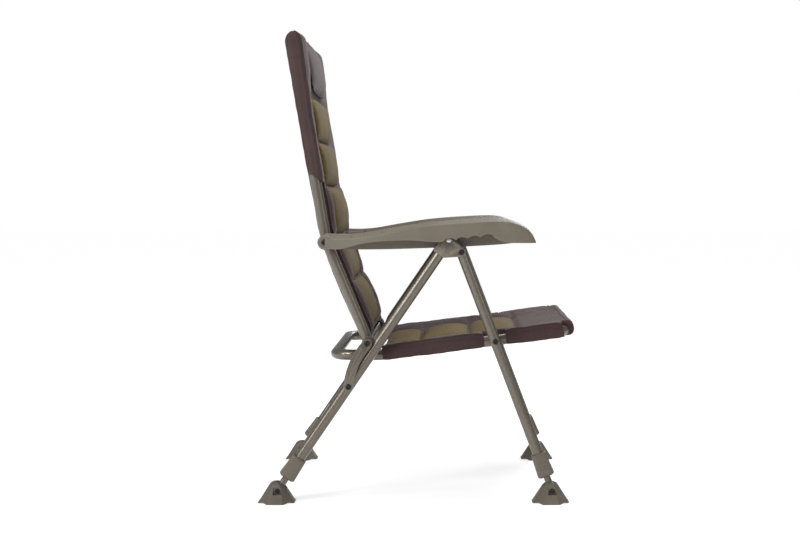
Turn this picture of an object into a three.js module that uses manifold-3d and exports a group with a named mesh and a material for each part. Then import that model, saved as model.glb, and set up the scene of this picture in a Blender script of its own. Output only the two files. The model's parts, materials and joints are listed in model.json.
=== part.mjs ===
// A folding, reclining fishing chair: crossed tube legs with telescopic ends and swivel mud feet,
// a bent-tube seat and backrest with quilted covers, and moulded armrests whose notched racks
// drop on a catch pin.
// Millimetres. +X is the front, +Y the sitter's left, +Z up, and the floor is Z = 0.
// Outlines in the side view are Vector2 values whose y is the height.
import * as THREE from "three";
import { mergeVertices } from "three/addons/utils/BufferGeometryUtils.js";
import Module from "manifold-3d";

// Stock and fits
const tubeDiameter = 25;
const tubeWall = 1.4;
const plateThickness = 3;
const touchGap = 0.3;
const slideFit = 0.4;
const pivotFit = 0.3;
const cutOverrun = 1;

// Planes, measured from the middle of the chair
const legPlane = 290;
const railPlane = 254;

// Legs
const frontLegAngle = 20.8;
const rearLegAngle = 34.4;
const footPivotHeight = 28;
const frontLegLength = 583.5;
const apexOffset = 39.5;
const seatSpacerRadius = 11;
const catchRise = 6.5;
const seatPivotDrop = 219.4;
const linkPivotDrop = 401.1;
const legEndBeyondBolt = 7;
const rearLegTopGap = 13;
const dentDepth = 4.5;
const dentHalfLength = 32;

// Leg ends
const collarBase = 34;
const collarLength = 55;
const collarSize = 39;
const collarTopSize = 33.5;
const collarRound = 7;
const collarChamfer = 3.5;
const collarTopChamfer = 2;
const collarStep = 14;
const extensionWall = 1.5;
const extensionTopGap = 27;
const extensionBottom = 38;
const stemRadius = 8;
const eyeRadius = 9;
const eyeHalfThickness = 8;
const lockHoleRadius = 2.6;
const lockHolePitch = 40;
const lockHoleCount = 3;
const lockHoleFirst = 60;

// Lever in the inner face of each collar
const leverWidth = 12.4;
const leverLength = 32;
const leverThickness = 3.2;
const leverTravelRoom = 2;
const leverFit = 0.5;
const leverPinRadius = 1.5;
const leverPinLength = 16;
const leverPivotHeight = 62;
const leverTipRise = 1.4;
const leverTipShare = 0.6;

// Grip ribs on the outer face of each front collar
const gripRibCount = 3;
const gripRibPitch = 7;
const gripRibFirst = 50;
const gripRibWidth = 21;
const gripRibHeight = 2.4;
const gripRibProud = 0.9;

// Mud feet
const footHalfWidth = 42;
const footSetBack = 3;
const footRimHeight = 6;
const footShoulderHeight = 40;
const footShoulderHalf = 17;
const footDomeHeight = 47;
const footDomeHalf = 9;
const footDomeMidHalf = 14;
const footWall = 3.4;
const footArchRadius = 18;
const footArchDrop = 12.5;
const footPocketFloor = 19;
const footPocketHalfWidth = 9.5;
const footPocketBottom = 20;
const footSwing = 22;
const footBoltRadius = 3;
const footBoltHeadRadius = 5.4;
const footBoltHeadHeight = 2.6;

// Bolts
const boltRadius = 4;
const boltHeadRadius = 6.5;
const boltHeadHeight = 2.6;
const socketRadius = 3.2;
const socketDepth = 1.6;
const nutRadius = 6.4;
const nutHeight = 4;
const thinNutHeight = 1.8;

// Apex bracket and catch pin
const bracketEndRadius = 10.5;
const bracketGap = 0.4;
const bracketWebTop = 17;
const bracketWebFoot = 40;
const catchPinRadius = 4;
const catchPinHeadRadius = 5.5;
const catchPinHeadHeight = 1;

// Cross bars between the legs
const crossBarDiameter = 19;
const frontCrossBarHeight = 200;
const rearCrossBarHeight = 140;

// Seat frame
const seatSlope = 7.5;
const seatReach = 171;
const seatHingeBack = 294;
const seatHingeDrop = 4;
const hingeAboveRail = 31;
const seatTail = 78;
const seatCornerRadius = 45;
const seatSlopeRadius = 120;
const seatJointGap = 0.6;

// Seat hinge lug
const lugEndRadius = 14;
const lugFootRadius = 8;
const lugFootHalfLength = 15;
const lugWebRise = 0.4;

// Fold link
const linkThickness = 3.5;
const linkHalfWidth = 11.5;
const linkBow = 9;
const linkRibHalfWidth = 3;
const linkRibProud = 1;
const linkRibEndGap = 17;
const linkStudRadius = 7;

// Backrest frame
const backLowerAngle = 22.8;
const backUpperAngle = 9.8;
const backLowerLength = 251;
const backUpperLength = 470;
const backCornerRadius = 60;
const backBendRadius = 150;
const backEndBeyondHinge = 7.6;

// Rod through both hinges of the backrest
const hingeRodRadius = 6;
const hingeRodCollarRadius = 10;
const hingeRodCollarLength = 8;

// Covers: offsets are measured from the tube axes, square to the frame
const coverSide = 14.7;
const coverTubeFit = 0.5;
const coverRound = 9;
const pillowHalfWidth = 168;
const seamShare = 0.3;
const boltRoom = 1.5;

// Seat cover: rear hem, three pillows, plain front
const seatCoverBack = -14;
const seatCoverEdge = 23;
const seatCoverBolster = 18;
const seatCoverValley = 6;
const seatCoverCrest = 24;
const seatCoverRear = 26;
const seatCoverRearHem = 6;
const seatPillowShares = [0.278, 0.361, 0.361];
const seatCoverFrontPlain = 125;
const seatCoverWrap = 1.5;
const seatRearHemShare = 0.7;
const seatHemShare = 0.5;
const seatSleeveCutHalf = 26;
const seatSleeveFrontCut = 26;

// Back cover: a padded panel between the tubes, and from the sleeve's start on sleeves over the tubes
const backCoverBack = -16;
const backCoverStart = 27;
const backCoverHem = 8;
const backCoverHemShare = 0.8;
const backPadFit = 2;
const backSleeveAbovePivot = 139;
const backBlendHalf = 59;
const backPillowShares = [0.196, 0.21, 0.21, 0.192, 0.192];
const backPillowCrests = [30, 31, 43, 34, 33];
const backBolsterCrests = [27, 28, 28, 18, 19];
const backSideEdges = [18, 18, 18, 18, 20];
const backCoverValley = 12;
const hoodDepth = 123.6;
const hoodFront = 20;
const hoodSideEdge = 34;
const hoodTopRise = 26;

// Head pillow
const headPillowHalfWidth = 160;
const headPillowHalfHeight = 61;
const headPillowDepth = 20;
const headPillowDrop = 55;
const headPillowPower = 2.6;

// Armrests, measured from their pivot on the backrest
const armBeyondLastCatch = 81.1;
const armTopAboveCatch = 45.6;
const armDrop = 17;
const armCrown = 6;
const armInnerFace = 269.4;
const armOuterFace = 322;
const armBossInnerFace = 276;
const armBossOuterFace = 303;
const armBossRadius = 17;
const armWall = 2.8;
const armEdgeRound = 5;
const armBossRecess = 4;
const armBushRadius = 6.2;
const armBushFlangeRadius = 15;
const armKnobRadius = 13;
const armKnobThickness = 12;
const armCavityStart = 24;
const armRackThickness = 5;
const armRackMargin = 14;
const armCeilingShare = 0.33;
const armRibThickness = 2;
const armRibDepth = 12;
const armRibFirst = 60;
const armRibPitch = 70;
const armRibCount = 3;
const reclineRange = 32;
const armTurnWithRecline = 21.7;
const catchCount = 6;
const notchDepth = 5;
const armScallopCount = 4;
const armScallopPitch = 28.7;
const armScallopRise = 3.3;
const armScallopAhead = 2.6;
const armScallopDrop = 0.9;
const armSkirtEndSetBack = 58.5;
const armSkirtEndRise = 2;
const armSkirtRear = 80;
const armSkirtRearRise = 3;

// How many facets
const tubeSides = 16;
const boreSides = 10;
const boltSides = 10;
const bendStep = 30;
const outlineSteps = 6;

const degree = Math.PI / 180;
const frontLean = -frontLegAngle;
const rearLean = rearLegAngle;
const backLowerLean = -backLowerAngle;
const backUpperLean = -backUpperAngle;
const tubeRadius = tubeDiameter / 2;
const wasm = await Module();
wasm.setup();

// Materials

const satinPaint = new THREE.MeshStandardMaterial({ color: 0x6b6558, roughness: 0.42, metalness: 0.35 });
const moulding = new THREE.MeshStandardMaterial({ color: 0x6c6657, roughness: 0.5, metalness: 0 });
const blackSteel = new THREE.MeshStandardMaterial({ color: 0x24211f, roughness: 0.4, metalness: 0.8 });
const brightSteel = new THREE.MeshStandardMaterial({ color: 0x9a9894, roughness: 0.3, metalness: 0.9 });
const blackPlastic = new THREE.MeshStandardMaterial({ color: 0x1d1b1a, roughness: 0.55, metalness: 0 });
const quiltedFabric = new THREE.MeshStandardMaterial({ color: 0x43333a, roughness: 0.85, metalness: 0 });
const pillowFabric = new THREE.MeshStandardMaterial({ color: 0x564b50, roughness: 0.85, metalness: 0 });

// Points of the side view

const sideVector = (x, height) => new THREE.Vector2(x, height);

// The way up a member that leans by an angle from upright, its top forward when positive.
function along(lean, length) {
  return sideVector(Math.sin(lean * degree), Math.cos(lean * degree)).multiplyScalar(length);
}

// Square to that member, to its front.
function acrossFrom(lean, length) {
  return sideVector(Math.cos(lean * degree), -Math.sin(lean * degree)).multiplyScalar(length);
}

const apexHeight = footPivotHeight + along(frontLean, frontLegLength).y;
const rearLegReach =
  (apexHeight - footPivotHeight - acrossFrom(rearLean, apexOffset).y) / Math.cos(rearLean * degree);
const apexFromRearFoot = along(rearLean, rearLegReach).add(acrossFrom(rearLean, apexOffset));
const seatPivotFromApex = along(frontLean, -seatPivotDrop);

// The chair stands with its front and rear ends equally far from the origin.
const seatHemMiddle = (seatCoverEdge + seatCoverBack) / 2;
const seatHemHalf = ((seatCoverEdge - seatCoverBack) / 2) * seatHemShare;
const seatHemReach =
  tubeRadius + seatCoverWrap + (seatHemHalf - seatHemMiddle) * Math.sin(seatSlope * degree);
const frontFromApex = seatPivotFromApex.x + seatReach + seatHemReach;
const rearFromApex = -apexFromRearFoot.x - footSetBack - footHalfWidth;
const apex = sideVector(-(frontFromApex + rearFromApex) / 2, apexHeight);
const frontFoot = apex.clone().add(along(frontLean, -frontLegLength));
const rearFoot = apex.clone().sub(apexFromRearFoot);
const catchHeight = rearLegReach + catchRise;
const linkPivotHeight = rearLegReach - linkPivotDrop;
const catchPoint = rearFoot.clone().add(along(rearLean, catchHeight));
const seatPivot = apex.clone().add(seatPivotFromApex);
const seatHinge = seatPivot.clone().sub(sideVector(seatHingeBack, seatHingeDrop));
const linkPivot = rearFoot.clone().add(along(rearLean, linkPivotHeight));
const railHeight = seatHinge.y - hingeAboveRail;
const armPivot = seatHinge.clone().add(along(backLowerLean, backLowerLength));
const backTop = armPivot.clone().add(along(backUpperLean, backUpperLength));
const armLength = catchInArm(catchCount - 1).x + armBeyondLastCatch;
const armRise = catchInArm(0).y + armTopAboveCatch;

// A point of the side view in the frame of a leg: x across it, y up it, from its foot pivot.
function inLeg(point, foot, lean) {
  const from = point.clone().sub(foot);
  return sideVector(from.dot(acrossFrom(lean, 1)), from.dot(along(lean, 1)));
}

// Layers across the chair, from the leg plane outwards and inwards
const legOuterFace = legPlane + tubeRadius;
const legInnerFace = legPlane - tubeRadius;
const railOuterFace = railPlane + tubeRadius;
const railInnerFace = railPlane - tubeRadius;
const bracketOuterFace = legOuterFace + bracketGap + plateThickness;
const bracketInnerFace = legInnerFace - bracketGap - plateThickness;
const linkInnerFace = legOuterFace + bracketGap;
const linkOuterFace = linkInnerFace + linkThickness;
const lugOuterFace = railOuterFace + touchGap + plateThickness;

// Solids

function toSolid(geometry) {
  const bare = geometry.clone();
  bare.deleteAttribute("normal");
  bare.deleteAttribute("uv");
  const merged = mergeVertices(bare);
  return new wasm.Manifold(
    new wasm.Mesh({
      numProp: 3,
      vertProperties: merged.attributes.position.array,
      triVerts: new Uint32Array(merged.index.array),
    }),
  );
}

function toGeometry(solid) {
  const shape = solid.getMesh();
  const geometry = new THREE.BufferGeometry();
  geometry.setAttribute("position", new THREE.BufferAttribute(shape.vertProperties, 3));
  geometry.setIndex(new THREE.BufferAttribute(shape.triVerts, 1));
  geometry.computeVertexNormals();
  return geometry;
}

function join(first, ...others) {
  return toGeometry(others.reduce((whole, other) => whole.add(toSolid(other)), toSolid(first)));
}

function cut(base, ...tools) {
  return toGeometry(tools.reduce((left, tool) => left.subtract(toSolid(tool)), toSolid(base)));
}

// A closed surface through rings of equal count that run anticlockwise seen from the last ring.
function loft(rings) {
  const count = rings[0].length;
  const points = rings.flat();
  const faces = [];
  for (let band = 0; band < rings.length - 1; band += 1) {
    for (let k = 0; k < count; k += 1) {
      const a = band * count + k;
      const b = band * count + ((k + 1) % count);
      faces.push(a, b, b + count, a, b + count, a + count);
    }
  }
  [rings[0], rings[rings.length - 1]].forEach((ring, end) => {
    const middle = new THREE.Vector3();
    ring.forEach((point) => middle.add(point));
    points.push(middle.divideScalar(count));
    const start = end * (rings.length - 1) * count;
    for (let k = 0; k < count; k += 1) {
      const here = start + k;
      const after = start + ((k + 1) % count);
      faces.push(points.length - 1, ...(end ? [here, after] : [after, here]));
    }
  });
  const geometry = new THREE.BufferGeometry().setFromPoints(points);
  geometry.setIndex(faces);
  geometry.computeVertexNormals();
  return geometry;
}

// A round bar along a route of points, its rings set on the mitre at each point.
function bar(route, radius, sides) {
  const tangents = route.map((_, k) => {
    const before = route[Math.max(k - 1, 0)];
    const after = route[Math.min(k + 1, route.length - 1)];
    return after.clone().sub(before).normalize();
  });
  const seed = Math.abs(tangents[0].y) > Math.SQRT1_2 ? [0, 0, 1] : [0, 1, 0];
  let side = new THREE.Vector3(...seed);
  const rings = route.map((point, k) => {
    side = side.clone().addScaledVector(tangents[k], -side.dot(tangents[k])).normalize();
    const other = tangents[k].clone().cross(side);
    return Array.from({ length: sides }, (_, j) => {
      const turn = (2 * Math.PI * j) / sides;
      return point
        .clone()
        .addScaledVector(side, radius * Math.cos(turn))
        .addScaledVector(other, radius * Math.sin(turn));
    });
  });
  return loft(rings);
}

// A tube along a route, open at both ends.
function tube(route, radius, wall, sides, innerSides = sides) {
  const first = route[0];
  const last = route[route.length - 1];
  const bore = [
    first.clone().add(first.clone().sub(route[1]).setLength(cutOverrun)),
    ...route,
    last.clone().add(last.clone().sub(route[route.length - 2]).setLength(cutOverrun)),
  ];
  return cut(bar(route, radius, sides), bar(bore, radius - wall, innerSides));
}

// A route through corners, each rounded by its own bend radius.
function bentRoute(corners, radii) {
  const route = [corners[0].clone()];
  for (let k = 1; k < corners.length - 1; k += 1) {
    const corner = corners[k];
    const inward = corners[k - 1].clone().sub(corner).normalize();
    const outward = corners[k + 1].clone().sub(corner).normalize();
    const turn = Math.PI - inward.angleTo(outward);
    const radius = radii[k - 1];
    const setBack = radius * Math.tan(turn / 2);
    const centre = inward.clone().add(outward).setLength(radius / Math.cos(turn / 2)).add(corner);
    const start = corner.clone().addScaledVector(inward, setBack).sub(centre);
    const axis = start.clone().cross(corner.clone().addScaledVector(outward, setBack).sub(centre));
    axis.normalize();
    const steps = Math.max(1, Math.ceil(turn / degree / bendStep));
    for (let j = 0; j <= steps; j += 1) {
      route.push(start.clone().applyAxisAngle(axis, (turn * j) / steps).add(centre));
    }
  }
  route.push(corners[corners.length - 1].clone());
  return route;
}

// A plate with its outline in the side view, between two faces across the chair.
function sidePlate(outline, innerFace, outerFace) {
  const shape = new THREE.Shape(outline);
  const plate = new THREE.ExtrudeGeometry(shape, { depth: outerFace - innerFace, bevelEnabled: false });
  return plate.rotateX(Math.PI / 2).translate(0, outerFace, 0);
}

// A cylinder across the chair.
function crossRod(centre, radius, innerFace, outerFace, sides = boltSides) {
  const rod = new THREE.CylinderGeometry(radius, radius, outerFace - innerFace, sides);
  return rod.translate(centre.x, (innerFace + outerFace) / 2, centre.y);
}

// A turned piece across the chair, from [radius, face] pairs that run from its inner end outwards.
function turned(centre, profile, sides = boltSides) {
  const outline = profile.map(([radius, face]) => new THREE.Vector2(radius, face));
  return new THREE.LatheGeometry(outline, sides).translate(centre.x, 0, centre.y);
}

// The smallest outline round a set of circles, anticlockwise.
function outlineRound(circles) {
  const points = circles.flatMap(({ centre, radius }) =>
    Array.from({ length: 2 * outlineSteps }, (_, k) => {
      const turn = (Math.PI * k) / outlineSteps;
      return centre.clone().add(sideVector(Math.cos(turn), Math.sin(turn)).multiplyScalar(radius));
    }),
  );
  points.sort((a, b) => a.x - b.x || a.y - b.y);
  const half = (list) => {
    const kept = [];
    for (const point of list) {
      while (kept.length > 1) {
        const [a, b] = kept.slice(-2);
        if (b.clone().sub(a).cross(point.clone().sub(b)) > 0) break;
        kept.pop();
      }
      kept.push(point);
    }
    return kept.slice(0, -1);
  };
  return [...half(points), ...half([...points].reverse())];
}

// A bolt with a socket head outside and a nut inside.
function bolt(centre, innerFace, outerFace, thickness = nutHeight, nutSize = nutRadius) {
  const headTop = outerFace + touchGap + boltHeadHeight;
  return turned(centre, [
    [0, innerFace - touchGap - thickness],
    [nutSize, innerFace - touchGap - thickness],
    [nutSize, innerFace - touchGap],
    [boltRadius, innerFace - touchGap],
    [boltRadius, outerFace + touchGap],
    [boltHeadRadius, outerFace + touchGap],
    [boltHeadRadius, headTop - boltHeadHeight / 2],
    [boltHeadRadius - boltHeadHeight / 2, headTop],
    [socketRadius, headTop],
    [socketRadius, headTop - socketDepth],
    [0, headTop - socketDepth],
  ]);
}

const boltHole = (centre, innerFace, outerFace, radius = boltRadius, sides = boltSides) =>
  crossRod(centre, radius + pivotFit, innerFace - cutOverrun, outerFace + cutOverrun, sides);

// Legs, in the leg's own frame: x across, y out from the chair, z up the leg from the foot pivot

const legBottom = collarBase + collarStep + touchGap;

function straightRoute(heights) {
  return heights.map((height) => new THREE.Vector3(0, 0, height));
}

function legHole(height, across = 0) {
  return boltHole(sideVector(across, height), -tubeRadius, tubeRadius);
}

function rearLegTube() {
  const hinge = inLeg(seatHinge, rearFoot, rearLean);
  const dentSteps = 8;
  const dentHeights = Array.from(
    { length: dentSteps + 1 },
    (_, k) => hinge.y + dentHalfLength * ((2 * k) / dentSteps - 1),
  );
  const route = straightRoute([legBottom, ...dentHeights, catchHeight - rearLegTopGap]);
  const geometry = tube(route, tubeRadius, tubeWall, tubeSides);
  // The side towards the seat hinge is pressed in, clear of the end of the fold link.
  const place = geometry.attributes.position;
  for (let k = 0; k < place.count; k += 1) {
    const share = (place.getZ(k) - hinge.y) / dentHalfLength;
    if (Math.abs(share) >= 1) continue;
    const depth = (dentDepth * (1 + Math.cos(Math.PI * share))) / 2;
    const outside = Math.hypot(place.getX(k), place.getY(k)) > tubeRadius - tubeWall / 2;
    const limit = -tubeRadius + depth + (outside ? 0 : tubeWall);
    if (place.getX(k) < limit) place.setX(k, limit);
  }
  return cut(geometry, legHole(linkPivotHeight));
}

function frontLegTube() {
  const route = straightRoute([legBottom, frontLegLength + legEndBeyondBolt]);
  const geometry = tube(route, tubeRadius, tubeWall, tubeSides);
  return cut(geometry, legHole(frontLegLength), legHole(frontLegLength - seatPivotDrop));
}

// Collars

function roundedSquare(size, height) {
  const cornerSteps = 3;
  const flat = size / 2 - collarRound;
  return [0, 1, 2, 3].flatMap((quarter) =>
    Array.from({ length: cornerSteps + 1 }, (_, k) => {
      const turn = (Math.PI / 2) * (quarter + k / cornerSteps);
      const middle = (Math.PI / 2) * (quarter + 0.5);
      return new THREE.Vector3(
        Math.sign(Math.cos(middle)) * flat + collarRound * Math.cos(turn),
        Math.sign(Math.sin(middle)) * flat + collarRound * Math.sin(turn),
        height,
      );
    }),
  );
}

const collarHalfAt = (height) =>
  THREE.MathUtils.lerp(collarSize, collarTopSize, (height - collarBase) / collarLength) / 2;
const leverFace = -collarHalfAt(leverPivotHeight);
const pocketDepth = leverThickness + leverTravelRoom;

function collar(withRibs) {
  const top = collarBase + collarLength;
  const body = loft([
    roundedSquare(collarSize - 2 * collarChamfer, collarBase),
    roundedSquare(collarSize, collarBase + collarChamfer),
    roundedSquare(collarTopSize, top - collarTopChamfer),
    roundedSquare(collarTopSize - 2 * collarTopChamfer, top),
  ]);
  const ribs = Array.from({ length: withRibs ? gripRibCount : 0 }, (_, k) => {
    const height = gripRibFirst + k * gripRibPitch;
    const rib = new THREE.BoxGeometry(gripRibWidth, 2 * gripRibProud + cutOverrun, gripRibHeight);
    return rib.translate(0, collarHalfAt(height) - cutOverrun / 2, height);
  });
  const stepHeight = collarBase + collarStep;
  const socket = bar(straightRoute([stepHeight, top + cutOverrun]), tubeRadius + touchGap, tubeSides);
  const throat = bar(
    straightRoute([collarBase - cutOverrun, stepHeight + cutOverrun]),
    extensionRadius + slideFit,
    tubeSides,
  );
  const pocket = new THREE.BoxGeometry(
    leverWidth + 2 * leverFit,
    2 * pocketDepth,
    leverLength + 2 * leverFit,
  ).translate(0, leverFace, leverPivotHeight);
  const pinHole = new THREE.CylinderGeometry(
    leverPinRadius + pivotFit,
    leverPinRadius + pivotFit,
    leverPinLength + 2 * leverFit,
    outlineSteps,
  );
  pinHole.rotateZ(Math.PI / 2).translate(0, leverFace + leverThickness / 2, leverPivotHeight);
  return cut(join(body, ...ribs), socket, throat, pocket, pinHole);
}

// The release lever: a rocker with a raised thumb end, on its own cross pin.
function collarLever() {
  const face = leverFace;
  const half = leverLength / 2;
  const outline = [
    sideVector(face + leverThickness, -half),
    sideVector(face + leverThickness, half),
    sideVector(face, half),
    sideVector(face, 0),
    sideVector(face - leverTipRise, -half * leverTipShare),
    sideVector(face - leverTipRise, -half),
  ];
  const rocker = new THREE.ExtrudeGeometry(new THREE.Shape(outline), {
    depth: leverWidth,
    bevelEnabled: false,
  });
  // The outline's x becomes the way out from the chair and its y the way up the leg.
  const turn = new THREE.Matrix4().makeBasis(
    new THREE.Vector3(0, 1, 0),
    new THREE.Vector3(0, 0, 1),
    new THREE.Vector3(1, 0, 0),
  );
  rocker.applyMatrix4(turn).translate(-leverWidth / 2, 0, leverPivotHeight);
  const pin = new THREE.CylinderGeometry(leverPinRadius, leverPinRadius, leverPinLength, outlineSteps);
  pin.rotateZ(Math.PI / 2).translate(0, face + leverThickness / 2, leverPivotHeight);
  return join(rocker, pin);
}

// Extensions

const legBore = tubeRadius - tubeWall;
const extensionRadius = legBore - slideFit;

function legExtension() {
  const top = linkPivotHeight - extensionTopGap;
  const floor = extensionBottom + 2 * stemRadius;
  const outline = [
    [0, 0],
    [stemRadius, 0],
    [stemRadius, extensionBottom - stemRadius / 2],
    [extensionRadius, extensionBottom],
    [extensionRadius, top],
    [extensionRadius - extensionWall, top],
    [extensionRadius - extensionWall, floor],
    [0, floor],
  ].map(([radius, height]) => new THREE.Vector2(radius, height));
  const body = new THREE.LatheGeometry(outline, tubeSides).rotateX(Math.PI / 2);
  const eye = crossRod(sideVector(0, 0), eyeRadius, -eyeHalfThickness, eyeHalfThickness, boltSides);
  const holes = Array.from({ length: lockHoleCount }, (_, k) => {
    const centre = sideVector(0, lockHoleFirst + k * lockHolePitch);
    return crossRod(centre, lockHoleRadius, -tubeRadius, 0, outlineSteps);
  });
  return cut(join(body, eye), boltHole(sideVector(0, 0), -eyeRadius, eyeRadius, footBoltRadius), ...holes);
}

// Mud feet, in the chair's directions, from the foot pivot

function octagon(halfWidth, height) {
  const reach = halfWidth / Math.cos(Math.PI / 8);
  return Array.from({ length: 8 }, (_, k) => {
    const turn = (Math.PI / 4) * (k + 0.5);
    return new THREE.Vector3(
      reach * Math.cos(turn) - footSetBack,
      reach * Math.sin(turn),
      height - footPivotHeight,
    );
  });
}

function mudFoot(lean) {
  const outside = loft([
    octagon(footHalfWidth, 0),
    octagon(footHalfWidth, footRimHeight / 2),
    octagon(footHalfWidth - footWall / 2, footRimHeight),
    octagon(footShoulderHalf, footShoulderHeight),
    octagon(footDomeMidHalf, (footShoulderHeight + footDomeHeight) / 2),
    octagon(footDomeHalf, footDomeHeight),
  ]);
  const inside = loft([
    octagon(footHalfWidth - footWall, -cutOverrun),
    octagon(footHalfWidth - footWall, footRimHeight),
    octagon(footShoulderHalf - footWall / 2, footShoulderHeight - footWall),
  ]);
  // Cheeks on both sides of the leg's eye stand inside the shell.
  const cheeks = toSolid(
    new THREE.BoxGeometry(2 * eyeRadius + footWall, 2 * footPocketFloor, 2 * eyeRadius + footWall),
  ).intersect(toSolid(outside));
  const shell = toGeometry(toSolid(outside).subtract(toSolid(inside)).add(cheeks));
  const pocketReach = footHalfWidth - footPocketFloor;
  const pockets = [-1, 1].map((side) =>
    new THREE.BoxGeometry(2 * footPocketHalfWidth, pocketReach, footDomeHeight).translate(
      0,
      side * (footPocketFloor + pocketReach / 2),
      footPocketBottom - footPivotHeight + footDomeHeight / 2,
    ),
  );
  const arches = [1, 3, 5, 7].map((eighth) => {
    const arch = new THREE.CylinderGeometry(footArchRadius, footArchRadius, footHalfWidth, boreSides);
    arch.rotateZ(Math.PI / 2).translate(footHalfWidth, 0, -footPivotHeight - footArchDrop);
    return arch.rotateZ((Math.PI / 4) * eighth).translate(-footSetBack, 0, 0);
  });
  // The slot lets the stem swing either way from its lean.
  const reach = 2 * footDomeHeight;
  const slotHalf = stemRadius + touchGap;
  const low = lean - footSwing;
  const high = lean + footSwing;
  const slotOutline = [
    acrossFrom(low, -slotHalf),
    acrossFrom(high, slotHalf),
    acrossFrom(high, slotHalf).add(along(high, reach)),
    along((low + high) / 2, reach),
    acrossFrom(low, -slotHalf).add(along(low, reach)),
  ];
  const slot = sidePlate(slotOutline, -slotHalf, slotHalf);
  const eyeRoom = crossRod(sideVector(0, 0), eyeRadius + touchGap, -slotHalf, slotHalf, tubeSides);
  const bore = boltHole(sideVector(0, 0), -footPocketFloor, footPocketFloor, footBoltRadius);
  return cut(shell, ...pockets, ...arches, slot, eyeRoom, bore);
}

function footBolt() {
  const seat = footPocketFloor + touchGap;
  const end = seat + footBoltHeadHeight;
  return turned(sideVector(0, 0), [
    [0, -end],
    [footBoltHeadRadius, -end],
    [footBoltHeadRadius, -seat],
    [footBoltRadius, -seat],
    [footBoltRadius, seat],
    [footBoltHeadRadius, seat],
    [footBoltHeadRadius, end - footBoltHeadHeight / 2],
    [footBoltHeadRadius - footBoltHeadHeight / 2, end],
    [0, end],
  ]);
}

// Apex bracket: two cheeks joined behind the rear leg, open to the front for the front leg

function apexBracket() {
  const webFront = -tubeRadius - bracketGap;
  const inChair = (across, height) =>
    rearFoot.clone().add(acrossFrom(rearLean, across)).add(along(rearLean, height));
  const webTop = catchHeight - bracketWebTop;
  const webFoot = catchHeight - bracketWebFoot;
  const corner = plateThickness / 2;
  const outline = outlineRound([
    { centre: catchPoint, radius: bracketEndRadius - plateThickness / 2 },
    { centre: apex, radius: bracketEndRadius },
    { centre: inChair(webFront - corner, webTop - corner), radius: corner },
    { centre: inChair(webFront - corner, webFoot + corner), radius: corner },
    { centre: inChair(tubeRadius, webFoot + corner), radius: corner },
  ]);
  const outer = sidePlate(outline, bracketOuterFace - plateThickness, bracketOuterFace);
  const inner = sidePlate(outline, bracketInnerFace, bracketInnerFace + plateThickness);
  const webOutline = [
    inChair(webFront - plateThickness, webFoot + corner),
    inChair(webFront, webFoot + corner),
    inChair(webFront, webTop - corner),
    inChair(webFront - plateThickness, webTop - corner),
  ];
  const web = sidePlate(webOutline, bracketInnerFace, bracketOuterFace);
  return cut(
    join(outer, web, inner),
    boltHole(apex, bracketInnerFace, bracketOuterFace),
    boltHole(catchPoint, bracketInnerFace, bracketOuterFace, catchPinRadius),
  );
}

function catchPin() {
  const inner = bracketInnerFace - touchGap;
  const outer = bracketOuterFace + touchGap;
  return turned(catchPoint, [
    [0, inner - catchPinHeadHeight],
    [catchPinHeadRadius, inner - catchPinHeadHeight],
    [catchPinHeadRadius, inner],
    [catchPinRadius, inner],
    [catchPinRadius, outer],
    [catchPinHeadRadius, outer],
    [catchPinHeadRadius, outer + catchPinHeadHeight],
    [0, outer + catchPinHeadHeight],
  ]);
}

// Cross bars, welded between the legs of a pair

function crossBar(foot, lean, height) {
  const centre = foot.clone().add(along(lean, height));
  const end = legInnerFace - touchGap;
  const route = [-end, end].map((y) => new THREE.Vector3(centre.x, y, centre.y));
  return tube(route, crossBarDiameter / 2, tubeWall, tubeSides);
}

// Seat frame: one tube bent into a loop, its ends meeting in the middle of the front

const seatRear = seatHinge.x - seatTail;
const seatFront = seatPivot.x + seatReach;
const slopeRun = (seatPivot.y - railHeight) / Math.tan(seatSlope * degree);
const slopeStart = seatPivot.x - slopeRun;
const seatHeightAt = (x) => railHeight + Math.max(0, x - slopeStart) * Math.tan(seatSlope * degree);

function seatRoute(jointGap) {
  const frontHeight = seatHeightAt(seatFront);
  const corners = [
    new THREE.Vector3(seatFront, jointGap / 2, frontHeight),
    new THREE.Vector3(seatFront, railPlane, frontHeight),
    new THREE.Vector3(slopeStart, railPlane, railHeight),
    new THREE.Vector3(seatRear, railPlane, railHeight),
    new THREE.Vector3(seatRear, -railPlane, railHeight),
    new THREE.Vector3(slopeStart, -railPlane, railHeight),
    new THREE.Vector3(seatFront, -railPlane, frontHeight),
    new THREE.Vector3(seatFront, -jointGap / 2, frontHeight),
  ];
  const rearThenFront = [seatCornerRadius, seatSlopeRadius, seatCornerRadius];
  return bentRoute(corners, [...rearThenFront, ...rearThenFront]);
}

function bothSides(make) {
  return [make(1), make(-1)];
}

const mirrorY = (geometry, side) => {
  const copy = geometry.clone();
  if (side > 0) return copy;
  copy.scale(1, -1, 1);
  const flat = copy.index ? copy.toNonIndexed() : copy;
  const place = flat.attributes.position;
  for (let k = 0; k < place.count; k += 3) {
    const first = new THREE.Vector3().fromBufferAttribute(place, k);
    const second = new THREE.Vector3().fromBufferAttribute(place, k + 1);
    place.setXYZ(k, second.x, second.y, second.z);
    place.setXYZ(k + 1, first.x, first.y, first.z);
  }
  return flat;
};

function seatFrame() {
  const loop = tube(seatRoute(seatJointGap), tubeRadius, tubeWall, tubeSides, boreSides);
  const hole = boltHole(seatPivot, railInnerFace, railOuterFace);
  return cut(loop, ...bothSides((side) => mirrorY(hole, side)));
}

// Seat hinge lug: a saddle on the rail, its two cheeks carrying the backrest pivot

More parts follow.
